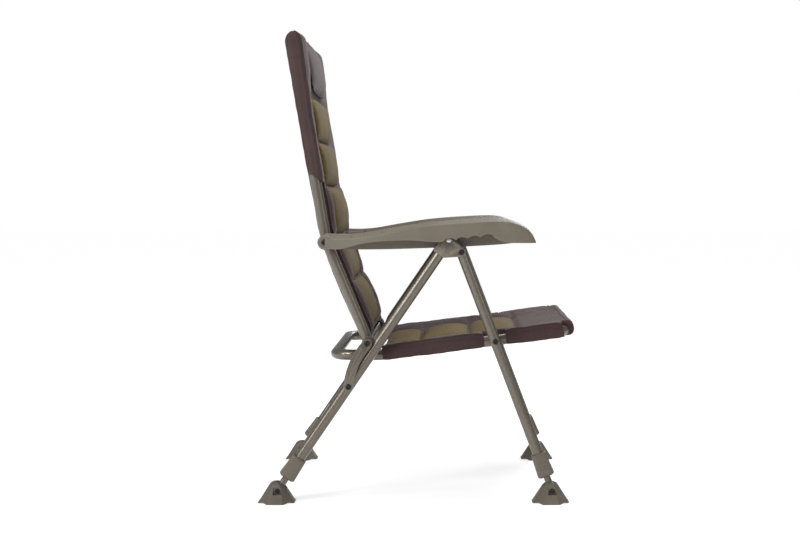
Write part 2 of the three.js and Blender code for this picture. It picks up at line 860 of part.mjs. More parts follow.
function seatLug() {
  const feet = [-1, 1].map((end) => ({
    centre: sideVector(seatHinge.x + end * lugFootHalfLength, railHeight),
    radius: lugFootRadius,
  }));
  const outline = outlineRound([{ centre: seatHinge, radius: lugEndRadius }, ...feet]);
  const outer = sidePlate(outline, lugOuterFace - plateThickness, lugOuterFace);
  const innerFace = railInnerFace - touchGap - plateThickness;
  const inner = sidePlate(outline, innerFace, innerFace + plateThickness);
  const webBottom = railHeight + tubeRadius + lugWebRise;
  const web = new THREE.BoxGeometry(
    2 * lugFootHalfLength,
    lugOuterFace - innerFace,
    plateThickness,
  ).translate(seatHinge.x, (lugOuterFace + innerFace) / 2, webBottom + plateThickness / 2);
  return cut(join(outer, web, inner), boltHole(seatHinge, innerFace, lugOuterFace, hingeRodRadius, tubeSides));
}

// Fold link: a bowed plate with a pressed rib, outside the leg

function linkCurve() {
  const middle = seatHinge.clone().add(linkPivot).multiplyScalar(1 / 2);
  const line = linkPivot.clone().sub(seatHinge).normalize();
  const back = sideVector(line.y, -line.x).multiplyScalar(2 * linkBow);
  return new THREE.QuadraticBezierCurve(seatHinge, middle.add(back), linkPivot);
}

function foldLink() {
  const curve = linkCurve();
  const steps = outlineSteps;
  const offset = (share, distance) => {
    const tangent = curve.getTangent(share);
    return curve.getPoint(share).add(sideVector(tangent.y, -tangent.x).multiplyScalar(distance));
  };
  const endArc = (share) => {
    const centre = curve.getPoint(share);
    const start = offset(share, share ? linkHalfWidth : -linkHalfWidth).sub(centre);
    return Array.from({ length: steps - 1 }, (_, k) =>
      start.clone().rotateAround(sideVector(0, 0), (Math.PI * (k + 1)) / steps).add(centre),
    );
  };
  const shares = Array.from({ length: steps + 1 }, (_, k) => k / steps);
  const outline = [
    ...shares.map((share) => offset(share, linkHalfWidth)),
    ...endArc(1),
    ...shares.reverse().map((share) => offset(share, -linkHalfWidth)),
    ...endArc(0),
  ];
  const plate = sidePlate(outline, linkInnerFace, linkOuterFace);
  const length = curve.getLength();
  const ribShares = [linkRibEndGap / length, 1 / 2, 1 - linkRibEndGap / length];
  const rib = sidePlate(
    outlineRound(ribShares.map((share) => ({ centre: curve.getPoint(share), radius: linkRibHalfWidth }))),
    linkOuterFace - cutOverrun,
    linkOuterFace + linkRibProud,
  );
  return cut(
    join(plate, rib),
    boltHole(seatHinge, linkInnerFace, linkOuterFace),
    boltHole(linkPivot, linkInnerFace, linkOuterFace),
  );
}

// The stud carries the link's upper end and faces the lug, where the linkage is left open.
function linkStud() {
  const headTop = linkOuterFace + touchGap + boltHeadHeight;
  return turned(seatHinge, [
    [0, lugOuterFace + touchGap],
    [linkStudRadius, lugOuterFace + touchGap],
    [linkStudRadius, linkInnerFace - touchGap],
    [boltRadius, linkInnerFace - touchGap],
    [boltRadius, linkOuterFace + touchGap],
    [boltHeadRadius, linkOuterFace + touchGap],
    [boltHeadRadius, headTop],
    [socketRadius, headTop],
    [socketRadius, headTop - socketDepth],
    [0, headTop - socketDepth],
  ]);
}

// Rod through both hinges of the backrest, with a collar beside each inner plate
function backHingeRod() {
  const collarOuter = railInnerFace - 2 * touchGap - plateThickness;
  const collarInner = collarOuter - hingeRodCollarLength;
  const half = [
    [hingeRodRadius, collarInner],
    [hingeRodCollarRadius, collarInner],
    [hingeRodCollarRadius, collarOuter],
    [hingeRodRadius, collarOuter],
    [hingeRodRadius, lugOuterFace],
    [0, lugOuterFace],
  ];
  const mirrored = half.map(([radius, face]) => [radius, -face]).reverse();
  return turned(seatHinge, [...mirrored, ...half], tubeSides);
}

// Backrest frame: one tube bent into an upside-down U

function backRoute(sideShift) {
  const lowEnd = seatHinge.clone().sub(along(backLowerLean, backEndBeyondHinge));
  const at = (point, y) => new THREE.Vector3(point.x, y, point.y);
  const plane = railPlane + sideShift;
  return bentRoute(
    [
      at(lowEnd, plane),
      at(armPivot, plane),
      at(backTop, plane),
      at(backTop, -plane),
      at(armPivot, -plane),
      at(lowEnd, -plane),
    ],
    [backBendRadius, backCornerRadius, backCornerRadius, backBendRadius],
  );
}

function backFrame() {
  const loop = tube(backRoute(0), tubeRadius, tubeWall, tubeSides, boreSides);
  const holes = [
    boltHole(seatHinge, railInnerFace, railOuterFace, hingeRodRadius, tubeSides),
    boltHole(armPivot, railInnerFace, railOuterFace),
  ];
  return cut(loop, ...bothSides((side) => holes.map((hole) => mirrorY(hole, side))).flat());
}

// Covers: rings square to the frame, each a flat back, rounded sides, two bolsters and a crown

const coverHalfWidth = railPlane + coverSide;
const bottomShares = [0.5];
const sideSteps = 3;
const bolsterShares = [0.35, 0.7];
const bolsterDropShares = [0, 0.4];
const crownShares = [0.92, 0.55];

function coverRing({ origin, forward, halfWidth, low, edge, bolster, valley, crest }) {
  const middle = (low + edge) / 2;
  const halfHeight = (edge - low) / 2;
  const rounding = Math.min(coverRound, halfHeight);
  const half = bottomShares.map((share) => [share * halfWidth, low]);
  for (let k = 0; k <= sideSteps; k += 1) {
    const turn = Math.PI * (k / sideSteps - 1 / 2);
    half.push([halfWidth - rounding * (1 - Math.cos(turn)), middle + halfHeight * Math.sin(turn)]);
  }
  bolsterShares.forEach((share, k) => {
    const y = THREE.MathUtils.lerp(halfWidth - coverRound, pillowHalfWidth, share);
    half.push([y, THREE.MathUtils.lerp(bolster, valley, bolsterDropShares[k])]);
  });
  half.push([pillowHalfWidth, valley]);
  crownShares.forEach((share) => {
    half.push([pillowHalfWidth * share, valley + (crest - valley) * Math.sqrt(1 - share * share)]);
  });
  const section = [
    ...half,
    [0, crest],
    ...half.map(([y, n]) => [-y, n]).reverse(),
    [0, low],
  ];
  return section.map(([y, n]) => {
    const place = origin.clone().addScaledVector(forward, n);
    return new THREE.Vector3(place.x, y, place.y);
  });
}

// A cover's ring, its height drawn in evenly to a share where the cover closes.
function closingRing(place, back, shape, heightShare = 1) {
  const middle = (back + shape.edge) / 2;
  const half = ((shape.edge - back) / 2) * heightShare;
  const ring = { ...place, ...shape, low: middle - half, edge: middle + half };
  if (heightShare < 1) {
    ["bolster", "valley", "crest"].forEach((key) => {
      ring[key] = Math.min(ring[key], ring.edge);
    });
  }
  return ring;
}

// Places along a row of pillows: which pillow, how far over it, and the distance from the row's origin.
const pillowPlaceShares = [0, 0.12, 0.5, 0.88];

function pillowRow(start, end, lengthShares) {
  const places = [];
  let from = start;
  lengthShares.forEach((lengthShare, pillow) => {
    const length = lengthShare * (end - start);
    pillowPlaceShares.forEach((share) => places.push({ pillow, share, distance: from + share * length }));
    from += length;
  });
  return places;
}

// A padded height over a pillow: drawn down at the seams.
function padded(foot, crest, share) {
  const swell = seamShare + (1 - seamShare) * Math.sqrt(Math.sin(Math.PI * share));
  return foot + (crest - foot) * swell;
}

// Beyond the pillows: shares of the way to the front tube, and of the rise to the edge's height
const seatFrontShares = [
  [0, 0.5],
  [0.5, 0.75],
  [1, 1],
];
// The front's rounding: shares of the tube's radius from the end, and of the cover's height
const seatRoundShares = [
  [0.33, 0.9],
  [0, seatHemShare],
];

function seatCover() {
  const tilt = along(-seatSlope, 1);
  const level = sideVector(0, 1);
  const start = seatHinge.x + seatCoverRear;
  const end = seatFront + tubeRadius + seatCoverWrap;
  const rings = [];
  const ring = (x, shape, heightShare) => {
    const place = { origin: sideVector(x, seatHeightAt(x)), forward: x > slopeStart ? tilt : level };
    const full = { halfWidth: coverHalfWidth, edge: seatCoverEdge, ...shape };
    rings.push(closingRing(place, seatCoverBack, full, heightShare));
  };
  const plain = (crest) => ({ bolster: crest, valley: crest, crest });
  ring(start, plain(seatCoverValley), seatRearHemShare);
  const plainStart = end - seatCoverFrontPlain;
  pillowRow(start + seatCoverRearHem, plainStart, seatPillowShares).forEach(({ share, distance }) => {
    const crest = padded(seatCoverValley, seatCoverCrest, share);
    ring(distance, { bolster: seatCoverBolster, valley: seatCoverValley, crest });
  });
  const frontTube = end - tubeRadius;
  seatFrontShares.forEach(([way, rise]) => {
    const x = THREE.MathUtils.lerp(plainStart, frontTube, way);
    ring(x, plain(THREE.MathUtils.lerp(seatCoverValley, seatCoverEdge, rise)));
  });
  seatRoundShares.forEach(([share, heightShare]) => {
    ring(end - share * tubeRadius, plain(seatCoverEdge), heightShare);
  });
  const body = loft(rings.map(coverRing));
  const channel = bar(seatRoute(0), tubeRadius + coverTubeFit, tubeSides);
  const legCut = new THREE.BoxGeometry(2 * seatSleeveCutHalf, 2 * tubeRadius, 2 * tubeRadius).translate(
    seatPivot.x,
    coverHalfWidth,
    seatPivot.y - boltRoom,
  );
  const nutRoom = crossRod(
    seatPivot,
    nutRadius + boltRoom,
    railInnerFace - nutHeight - boltRoom,
    railPlane,
  );
  const cornerCut = new THREE.BoxGeometry(
    2 * seatSleeveFrontCut,
    2 * seatSleeveFrontCut,
    2 * tubeRadius,
  ).translate(end, coverHalfWidth, seatHeightAt(end));
  const cuts = [legCut, cornerCut, nutRoom].flatMap((tool) => bothSides((side) => mirrorY(tool, side)));
  return cut(body, channel, ...cuts);
}

// The backrest's centre line and its forward direction at a distance from the seat hinge
function backAt(distance) {
  const lower = distance < backLowerLength;
  const lean = lower ? backLowerLean : backUpperLean;
  const from = lower ? seatHinge : armPivot;
  const blend = THREE.MathUtils.smoothstep(
    distance,
    backLowerLength - backBlendHalf,
    backLowerLength + backBlendHalf,
  );
  const tilt = THREE.MathUtils.lerp(backLowerLean, backUpperLean, blend);
  return {
    origin: from.clone().add(along(lean, lower ? distance : distance - backLowerLength)),
    forward: acrossFrom(tilt, 1),
  };
}

// The hood's rounded top: shares of a quarter turn
const hoodTopShares = [0.33, 0.61, 0.87];

function backCover() {
  const rings = [];
  const padHalfWidth = railInnerFace - backPadFit;
  const sleeveStart = backLowerLength + backSleeveAbovePivot;
  const frameEnd = backLowerLength + backUpperLength;
  const rowEnd = frameEnd - hoodDepth;
  const ring = (distance, shape, heightShare) => {
    const halfWidth = distance > sleeveStart ? coverHalfWidth : padHalfWidth;
    rings.push(closingRing(backAt(distance), backCoverBack, { halfWidth, ...shape }, heightShare));
  };
  const hem = { edge: backSideEdges[0], bolster: backCoverValley, valley: backCoverValley, crest: backCoverValley };
  ring(backCoverStart, hem, backCoverHemShare);
  const places = pillowRow(backCoverStart + backCoverHem, rowEnd, backPillowShares);
  const sleeved = places.findIndex(({ distance }) => distance > sleeveStart);
  places.splice(sleeved, 0, { ...places[sleeved], distance: sleeveStart });
  places.forEach(({ pillow, share, distance }) => {
    ring(distance, {
      edge: backSideEdges[pillow],
      bolster: padded(backCoverValley, backBolsterCrests[pillow], share),
      valley: backCoverValley,
      crest: padded(backCoverValley, backPillowCrests[pillow], share),
    });
  });
  const radius = (hoodSideEdge - backCoverBack) / 2;
  const topStart = frameEnd + hoodTopRise - radius;
  const hood = (edge) => ({ edge, bolster: (edge + hoodFront) / 2, valley: hoodFront, crest: hoodFront });
  const lowEdge = (backSideEdges[backSideEdges.length - 1] + hoodSideEdge) / 2;
  ring(rowEnd, { ...hood(lowEdge), valley: backCoverValley, crest: backCoverValley });
  ring(rowEnd + backCoverHem, hood(lowEdge));
  ring((rowEnd + topStart) / 2, hood(hoodSideEdge));
  ring(topStart, hood(hoodSideEdge));
  hoodTopShares.forEach((share) => {
    const turn = (share * Math.PI) / 2;
    const halfWidth = coverHalfWidth - (1 - Math.cos(turn)) * coverRound;
    const rise = radius * Math.sin(turn);
    ring(topStart + rise, { ...hood(hoodSideEdge), halfWidth }, Math.cos(turn));
  });
  const body = loft(rings.reverse().map(coverRing));
  const channel = bar(backRoute(0), tubeRadius + coverTubeFit, tubeSides);
  const room = crossRod(
    armPivot,
    armKnobRadius + boltRoom,
    railInnerFace - touchGap - armKnobThickness - boltRoom,
    coverHalfWidth,
  );
  return cut(body, channel, ...bothSides((side) => mirrorY(room, side)));
}

// Head pillow: a rounded slab with a flat back, laid on the cover

function headPillow() {
  const centre = backLowerLength + backUpperLength - headPillowDrop;
  const { origin, forward } = backAt(centre);
  const upward = along(backUpperLean, 1);
  const rows = 12;
  const columns = 20;
  const geometry = new THREE.SphereGeometry(1, columns, rows);
  const place = geometry.attributes.position;
  const rounded = (value) => Math.sign(value) * Math.abs(value) ** (2 / headPillowPower);
  const face = hoodFront + touchGap;
  for (let k = 0; k < place.count; k += 1) {
    const depth = Math.max(rounded(place.getY(k)), 0) * headPillowDepth;
    const tall = rounded(place.getZ(k)) * headPillowHalfHeight;
    const wide = -rounded(place.getX(k)) * headPillowHalfWidth;
    const point = origin
      .clone()
      .addScaledVector(forward, face + depth)
      .addScaledVector(upward, tall);
    place.setXYZ(k, point.x, wide, point.y);
  }
  return geometry;
}

// Armrests: x forward and z up from the pivot, y from the middle of the chair

// Shares of the arm's length, of its rise and of its drop, along the top and bottom edges
const armTopShares = [
  [0, 0.29],
  [0.09, 0.26],
  [0.19, 0.34],
  [0.33, 0.57],
  [0.49, 0.8],
  [0.66, 0.93],
  [0.82, 1],
  [0.9, 0.9],
  [0.955, 0.66],
  [0.985, 0.36],
  [1, 0.05],
];
const armBottomShares = [
  [0, -0.88],
  [0.2, -1],
  [0.65, -0.57],
  [0.9, -0.12],
  [1, -0.06],
];
const armPlanShares = [
  [0, 0.13, 0.62],
  [0.12, 0.13, 0.74],
  [0.24, 0, 0.88],
  [0.4, 0, 0.97],
  [0.55, 0, 1],
  [0.9, 0, 1],
  [0.96, 0.06, 0.95],
  [0.985, 0.15, 0.87],
  [1, 0.28, 0.74],
];

function alongTable(table, share, column) {
  const last = table.length - 1;
  const k = Math.min(last - 1, Math.max(0, table.findIndex((row) => row[0] > share) - 1));
  const row = share >= 1 ? last - 1 : k;
  const [from, to] = [table[row], table[row + 1]];
  const inside = THREE.MathUtils.clamp((share - from[0]) / (to[0] - from[0]), 0, 1);
  return THREE.MathUtils.lerp(from[column], to[column], inside);
}

const armTopAt = (x) => alongTable(armTopShares, x / armLength, 1) * armRise;
const armBottomAt = (x) => alongTable(armBottomShares, x / armLength, 1) * armDrop;
const armInnerAt = (x) =>
  armInnerFace + alongTable(armPlanShares, x / armLength, 1) * (armOuterFace - armInnerFace);
const armOuterAt = (x) =>
  armInnerFace + alongTable(armPlanShares, x / armLength, 2) * (armOuterFace - armInnerFace);

const armCornerShares = [0, 0.5, 1];
const armCrownShares = [0.25, 0.5, 0.75];

function armRing(x, top, bottom, inner, outer, crown, round) {
  const points = [[outer, bottom]];
  const corner = armCornerShares.map((share) => (share * Math.PI) / 2);
  corner.forEach((turn) =>
    points.push([outer - round + round * Math.cos(turn), top - round + round * Math.sin(turn)]),
  );
  armCrownShares.forEach((share) => {
    const y = THREE.MathUtils.lerp(outer - round, inner + round, share);
    points.push([y, top + crown * Math.sin(Math.PI * share)]);
  });
  corner.reverse().forEach((turn) =>
    points.push([inner + round - round * Math.cos(turn), top - round + round * Math.sin(turn)]),
  );
  points.push([inner, bottom]);
  return points.map(([y, z]) => new THREE.Vector3(x, y, z));
}

const armStationShares = [0, 0.09, 0.19, 0.33, 0.49, 0.66, 0.76, 0.84, 0.9, 0.94, 0.97, 0.988, 1];

// Where the catch pin lies in the armrest's own frame at each of its rests
function catchInArm(step) {
  const back = (reclineRange * step) / (catchCount - 1);
  const pivot = armPivot.clone().rotateAround(seatHinge, back * degree);
  const armTurn = ((reclineRange - armTurnWithRecline) * step) / (catchCount - 1);
  return catchPoint.clone().sub(pivot).rotateAround(sideVector(0, 0), -armTurn * degree);
}

// A scalloped edge: an arch over each of the given points, a tooth halfway to the next.
const archShares = [-0.5, -0.3, 0, 0.3, 0.5];

function scallopedEdge(centres) {
  return centres.flatMap((centre, k) => {
    const neighbour = centres[k + 1] ?? centres[k - 1];
    const step = neighbour.clone().sub(centre).multiplyScalar(k + 1 < centres.length ? 1 : -1);
    const shares = k ? archShares.slice(1) : archShares;
    return shares.map((share) => {
      const rise = sideVector(0, notchDepth * Math.cos(Math.PI * share));
      return centre.clone().addScaledVector(step, share).add(rise);
    });
  });
}

function armrest() {
  const outside = loft(
    armStationShares.map((share) => {
      const x = share * armLength;
      const round = share < 1 ? armEdgeRound : armWall;
      const crown = armCrown * (1 - share ** 8);
      const bottom = armBottomAt(x);
      const top = Math.max(armTopAt(x), bottom + round + armWall / 2);
      return armRing(x, top, bottom, armInnerAt(x), armOuterAt(x), crown, round);
    }),
  );
  const boss = crossRod(sideVector(0, 0), armBossRadius, armBossInnerFace, armBossOuterFace, tubeSides);
  const cavityEnd = armLength - 2 * armWall;
  const cavity = loft(
    armStationShares.slice(0, -1).map((share) => {
      const x = THREE.MathUtils.lerp(armCavityStart, cavityEnd, share);
      const top = Math.min(armTopAt(x), armTopAt(x + armWall)) - armWall;
      const bottom = armBottomAt(x) - cutOverrun;
      const height = Math.max(top, bottom + 2 * armWall);
      const inner = armInnerAt(x + armWall) + armWall;
      const outer = armOuterAt(x + armWall) - armWall;
      return armRing(x, height, bottom, inner, outer, armCrown / 2, armWall);
    }),
  );
  const ceilingAt = (x) => armTopAt(x) + armCrown * armCeilingShare;
  const rests = Array.from({ length: catchCount }, (_, k) =>
    catchInArm(k).add(sideVector(0, catchPinRadius + touchGap)),
  );
  const rackStart = rests[0].x - armRackMargin;
  const rackEnd = rests[catchCount - 1].x + armRackMargin;
  const rackOutline = [
    sideVector(rackStart, rests[0].y),
    ...scallopedEdge(rests),
    sideVector(rackEnd, rests[catchCount - 1].y),
    sideVector(rackEnd, ceilingAt(rackEnd)),
    sideVector((rackStart + rackEnd) / 2, ceilingAt((rackStart + rackEnd) / 2)),
    sideVector(rackStart, ceilingAt(rackStart)),
  ];
  const rackHalf = armRackThickness / 2;
  const rack = sidePlate(rackOutline, legPlane - rackHalf, legPlane + rackHalf);
  const ribs = Array.from({ length: armRibCount }, (_, k) => {
    const x = armRibFirst + k * armRibPitch;
    const inner = armInnerAt(x) + armWall / 2;
    const outer = armOuterAt(x) - armWall / 2;
    const rib = new THREE.BoxGeometry(armRibThickness, outer - inner, armRibDepth);
    return rib.translate(x, (inner + outer) / 2, ceilingAt(x) - armRibDepth / 2);
  });
  // The outer wall is cut away below a scalloped edge.
  const scallopStart = catchInArm(0).add(sideVector(armScallopAhead, -armScallopDrop));
  const scallops = Array.from({ length: armScallopCount }, (_, k) =>
    scallopStart.clone().add(sideVector(k * armScallopPitch, k * armScallopRise)),
  );
  const skirtEnd = armLength - armSkirtEndSetBack;
  const skirtFoot = Math.min(scallopStart.y, 0) - 2 * armDrop;
  const skirtOutline = [
    sideVector(skirtEnd, skirtFoot),
    sideVector(skirtEnd, armSkirtEndRise),
    ...scallopedEdge(scallops).reverse(),
    sideVector(armSkirtRear, armSkirtRearRise),
    sideVector(armSkirtRear - armBossRadius, -armDrop),
    sideVector(armSkirtRear - armBossRadius, skirtFoot),
  ].reverse();
  const skirt = sidePlate(skirtOutline, legOuterFace, armOuterFace + cutOverrun);
  const hollow = cut(outside, cavity);
  const bossHole = crossRod(
    sideVector(0, 0),
    armBushRadius + pivotFit,
    armInnerFace,
    armOuterFace,
    tubeSides,
  );
  const recess = crossRod(
    sideVector(0, 0),
    boltHeadRadius + boltRoom,
    armBossOuterFace - armBossRecess,
    armOuterFace,
  );
  return cut(join(hollow, boss, rack, ...ribs), skirt, bossHole, recess);
}

// Flanged bush between the backrest tube and the armrest's boss
function armrestBush() {
  const inner = railOuterFace + touchGap;
  const shoulder = armBossInnerFace - touchGap;
  const outer = armBossOuterFace - armBossRecess - touchGap;
  const bore = boltRadius + pivotFit;
  const profile = [
    [bore, inner],
    [armBushFlangeRadius, inner],
    [armBushFlangeRadius, shoulder],
    [armBushRadius, shoulder],
    [armBushRadius, outer],
    [bore, outer],
    [bore, inner],
  ];
  return turned(armPivot, profile, tubeSides);
}

// The bolt's nut is a round knob on the inside of the backrest tube.
const armrestBolt = () =>
  bolt(armPivot, railInnerFace, armBossOuterFace - armBossRecess, armKnobThickness, armKnobRadius);

function seatPivotSpacer() {
  const inner = railOuterFace + touchGap;
  const outer = legInnerFace - touchGap;
  const bore = boltRadius + pivotFit;
  return turned(seatPivot, [
    [bore, inner],
    [seatSpacerRadius, inner],
    [seatSpacerRadius, outer],
    [bore, outer],
    [bore, inner],
  ]);
}

// Assembly

function piece(name, geometry, material) {
  const mesh = new THREE.Mesh(geometry, material);
  mesh.name = name;
  return mesh;
}

function legGroup(foot, lean) {
  const group = new THREE.Group();
  group.position.set(foot.x, legPlane, foot.y);
  group.rotation.y = lean * degree;
  return group;
}

function footGroup(foot) {
  const group = new THREE.Group();
  group.position.set(foot.x, legPlane, foot.y);
  return group;
}

const ends = [
  { end: "front", foot: frontFoot, lean: frontLean, tube: frontLegTube(), ribs: true },
  { end: "rear", foot: rearFoot, lean: rearLean, tube: rearLegTube(), ribs: false },
].map((leg) => ({ ...leg, collar: collar(leg.ribs), mudFoot: mudFoot(leg.lean) }));
const sidePieces = [
  ["apex_bracket", apexBracket(), satinPaint],
  ["catch_pin", catchPin(), brightSteel],
  ["apex_bolt", bolt(apex, bracketInnerFace, bracketOuterFace, thinNutHeight), blackSteel],
  ["seat_hinge_lug", seatLug(), satinPaint],
  ["seat_pivot_bolt", bolt(seatPivot, railInnerFace, legOuterFace), blackSteel],
  ["seat_pivot_spacer", seatPivotSpacer(), blackPlastic],
  ["fold_link", foldLink(), satinPaint],
  ["link_leg_bolt", bolt(linkPivot, legInnerFace, linkOuterFace), blackSteel],
  ["link_seat_stud", linkStud(), blackSteel],
  ["armrest_bush", armrestBush(), blackSteel],
  ["armrest_bolt", armrestBolt(), blackSteel],
];
const lever = collarLever();
const extension = legExtension();
const pivotBolt = footBolt();
const armShell = armrest();

function sideOfChair(side) {
  const label = side > 0 ? "left" : "right";
  const half = new THREE.Group();
  half.scale.y = side;
  for (const leg of ends) {
    const upright = legGroup(leg.foot, leg.lean);
    upright.add(
      piece(`${leg.end}_leg_${label}`, leg.tube, satinPaint),
      piece(`${leg.end}_collar_${label}`, leg.collar, moulding),
      piece(`${leg.end}_collar_lever_${label}`, lever, blackPlastic),
      piece(`${leg.end}_leg_extension_${label}`, extension, satinPaint),
    );
    const ground = footGroup(leg.foot);
    ground.add(
      piece(`${leg.end}_mud_foot_${label}`, leg.mudFoot, moulding),
      piece(`${leg.end}_foot_bolt_${label}`, pivotBolt, blackSteel),
    );
    half.add(upright, ground);
  }
  sidePieces.forEach(([name, geometry, material]) => half.add(piece(`${name}_${label}`, geometry, material)));
  const arm = piece(`armrest_${label}`, armShell, moulding);
  arm.position.set(armPivot.x, 0, armPivot.y);
  half.add(arm);
  return half;
}

const chair = new THREE.Group();
chair.add(
  sideOfChair(1),
  sideOfChair(-1),
  piece("front_cross_bar", crossBar(frontFoot, frontLean, frontCrossBarHeight), satinPaint),
  piece("rear_cross_bar", crossBar(rearFoot, rearLean, rearCrossBarHeight), satinPaint),
  piece("back_hinge_rod", backHingeRod(), blackSteel),
  piece("seat_frame", seatFrame(), satinPaint),
  piece("seat_cover", seatCover(), quiltedFabric),
  piece("backrest_frame", backFrame(), satinPaint),
  piece("backrest_cover", backCover(), quiltedFabric),
  piece("head_pillow", headPillow(), pillowFabric),
);

export default chair;
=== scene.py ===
"""The looks of a folding, reclining fishing chair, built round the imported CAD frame.

Lengths in this script are millimetres until a mesh is made, where they become metres.
+X is the front, +Y the sitter's left, +Z up. Points of the side view are (x, height).
"""

import json
import math

import bmesh
import bpy
import numpy as np
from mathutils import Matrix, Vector, noise


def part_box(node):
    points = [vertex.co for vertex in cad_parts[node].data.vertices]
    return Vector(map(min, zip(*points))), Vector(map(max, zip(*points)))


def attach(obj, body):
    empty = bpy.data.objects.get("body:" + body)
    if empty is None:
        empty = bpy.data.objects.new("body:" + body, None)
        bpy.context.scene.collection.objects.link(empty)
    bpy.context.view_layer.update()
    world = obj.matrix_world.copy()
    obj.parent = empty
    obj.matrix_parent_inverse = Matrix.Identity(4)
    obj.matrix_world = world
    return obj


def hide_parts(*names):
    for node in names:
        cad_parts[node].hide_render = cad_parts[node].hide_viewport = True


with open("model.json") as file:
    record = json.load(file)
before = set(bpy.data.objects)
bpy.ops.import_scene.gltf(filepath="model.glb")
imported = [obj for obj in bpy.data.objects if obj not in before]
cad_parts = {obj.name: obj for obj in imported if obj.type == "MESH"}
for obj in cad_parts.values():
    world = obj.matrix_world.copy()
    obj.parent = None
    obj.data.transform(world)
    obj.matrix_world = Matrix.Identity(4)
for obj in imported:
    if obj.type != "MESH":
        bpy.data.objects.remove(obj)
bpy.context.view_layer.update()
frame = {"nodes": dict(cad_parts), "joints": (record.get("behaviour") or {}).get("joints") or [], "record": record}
nodes = frame["nodes"]
joints = {joint["name"]: joint for joint in frame["joints"]}
body_of = {
    node: body for body, names in frame["record"]["behaviour"]["bodies"].items() for node in names
}
scene = bpy.context.scene
MM = 0.001

# Sizes of the CAD part

tube_radius = 12.5
tube_wall = 1.4
plate_thickness = 3
touch_gap = 0.3
slide_gap = 0.4
leg_plane = 290
rail_plane = 254
front_lean = -20.8
rear_lean = 34.4
link_thickness = 3.5
seat_slope = 7.5
seat_reach = 171
hinge_above_rail = 31
back_lower_lean = -22.8
back_upper_lean = -9.8
back_lower_length = 251
back_upper_length = 470
arm_inner_face = 269.4
arm_outer_face = 322
arm_beyond_last_rest = 81.1
arm_turn_with_recline = 21.7
rest_count = 6

leg_inner_face = leg_plane - tube_radius
leg_outer_face = leg_plane + tube_radius
rail_inner_face = rail_plane - tube_radius
rail_outer_face = rail_plane + tube_radius
bracket_outer_face = leg_outer_face + slide_gap + plate_thickness
bracket_inner_face = leg_inner_face - slide_gap - plate_thickness
link_inner_face = leg_outer_face + slide_gap
link_outer_face = link_inner_face + link_thickness
lug_outer_face = rail_outer_face + touch_gap + plate_thickness
sides_of_chair = ((1, "left"), (-1, "right"))

# Places in the side view


def joint_place(name):
    x, _, height = joints[name]["pos_m"]
    return np.array([x, height]) / MM


def node_middle(node):
    low, high = (np.array(corner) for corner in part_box(node))
    return (low + high)[[0, 2]] / 2 / MM


def along(lean, length):
    return np.array([math.sin(math.radians(lean)), math.cos(math.radians(lean))]) * length


def rotated(way, degrees):
    """A way in the side view, turned from the front towards the top."""
    cos, sin = math.cos(math.radians(degrees)), math.sin(math.radians(degrees))
    return np.array([[cos, -sin], [sin, cos]]) @ way


apex = joint_place("fold")
seat_pivot = joint_place("seat_fold")
seat_hinge = joint_place("recline")
link_pivot = joint_place("link_fold")
arm_pivot = joint_place("arm_level_left")
front_foot = joint_place("front_foot_swivel_left")
rear_foot = joint_place("rear_foot_swivel_left")
catch_point = node_middle("catch_pin_left")
rail_height = seat_hinge[1] - hinge_above_rail
recline_range = -joints["recline"]["range_deg"][0]


def rest_in_arm(step):
    """The rest of the rack that lies on the catch pin at a step of the recline, from the arm's pivot."""
    share = step / (rest_count - 1)
    pivot = seat_hinge + rotated(arm_pivot - seat_hinge, recline_range * share)
    return rotated(catch_point - pivot, (arm_turn_with_recline - recline_range) * share)


catch_rests = [rest_in_arm(step) for step in range(rest_count)]
arm_length = catch_rests[-1][0] + arm_beyond_last_rest

# Meshes


def add_object(name, data):
    obj = bpy.data.objects.new(name, data)
    scene.collection.objects.link(obj)
    return obj


def smooth_by_angle(mesh, angle):
    mesh.shade_smooth()
    mesh.set_sharp_from_angle(angle=math.radians(angle))


def mesh_object(name, points, faces, angle=35):
    mesh = bpy.data.meshes.new(name)
    mesh.from_pydata([tuple(map(float, p)) for p in np.asarray(points) * MM], [], faces)
    work = bmesh.new()
    work.from_mesh(mesh)
    bmesh.ops.recalc_face_normals(work, faces=work.faces)
    work.to_mesh(mesh)
    work.free()
    smooth_by_angle(mesh, angle)
    return add_object(name, mesh)


def apply_modifiers(obj):
    depsgraph = bpy.context.evaluated_depsgraph_get()
    mesh = bpy.data.meshes.new_from_object(obj.evaluated_get(depsgraph))
    obj.modifiers.clear()
    obj.data = mesh
    return obj


def soften(obj, width, angle=30, shade=40):
    """Small rounded edges, so that they catch the light."""
    bevel = obj.modifiers.new("Bevel", "BEVEL")
    bevel.width = width * MM
    bevel.segments = 2
    bevel.limit_method = "ANGLE"
    bevel.angle_limit = math.radians(angle)
    bevel.use_clamp_overlap = True
    apply_modifiers(obj)
    smooth_by_angle(obj.data, shade)
    return obj


def ring_faces(first, second):
    count = len(first)
    return [
        (first[k], first[(k + 1) % count], second[(k + 1) % count], second[k]) for k in range(count)
    ]


def loft(name, rings, closed=False, angle=35):
    """A surface through rings of equal count: capped at both ends, or closed into itself."""
    rings = [np.asarray(ring) for ring in rings]
    count = len(rings[0])
    index = [list(range(k * count, (k + 1) * count)) for k in range(len(rings))]
    faces = [f for a, b in zip(index, index[1:]) for f in ring_faces(a, b)]
    points = np.concatenate(rings)
    if closed:
        faces += ring_faces(index[-1], index[0])
    else:
        for ring in (index[0], index[-1]):
            middle = points[ring].mean(axis=0)
            points = np.vstack([points, middle])
            faces += [(ring[k], ring[(k + 1) % count], len(points) - 1) for k in range(count)]
    return mesh_object(name, points, faces, angle)


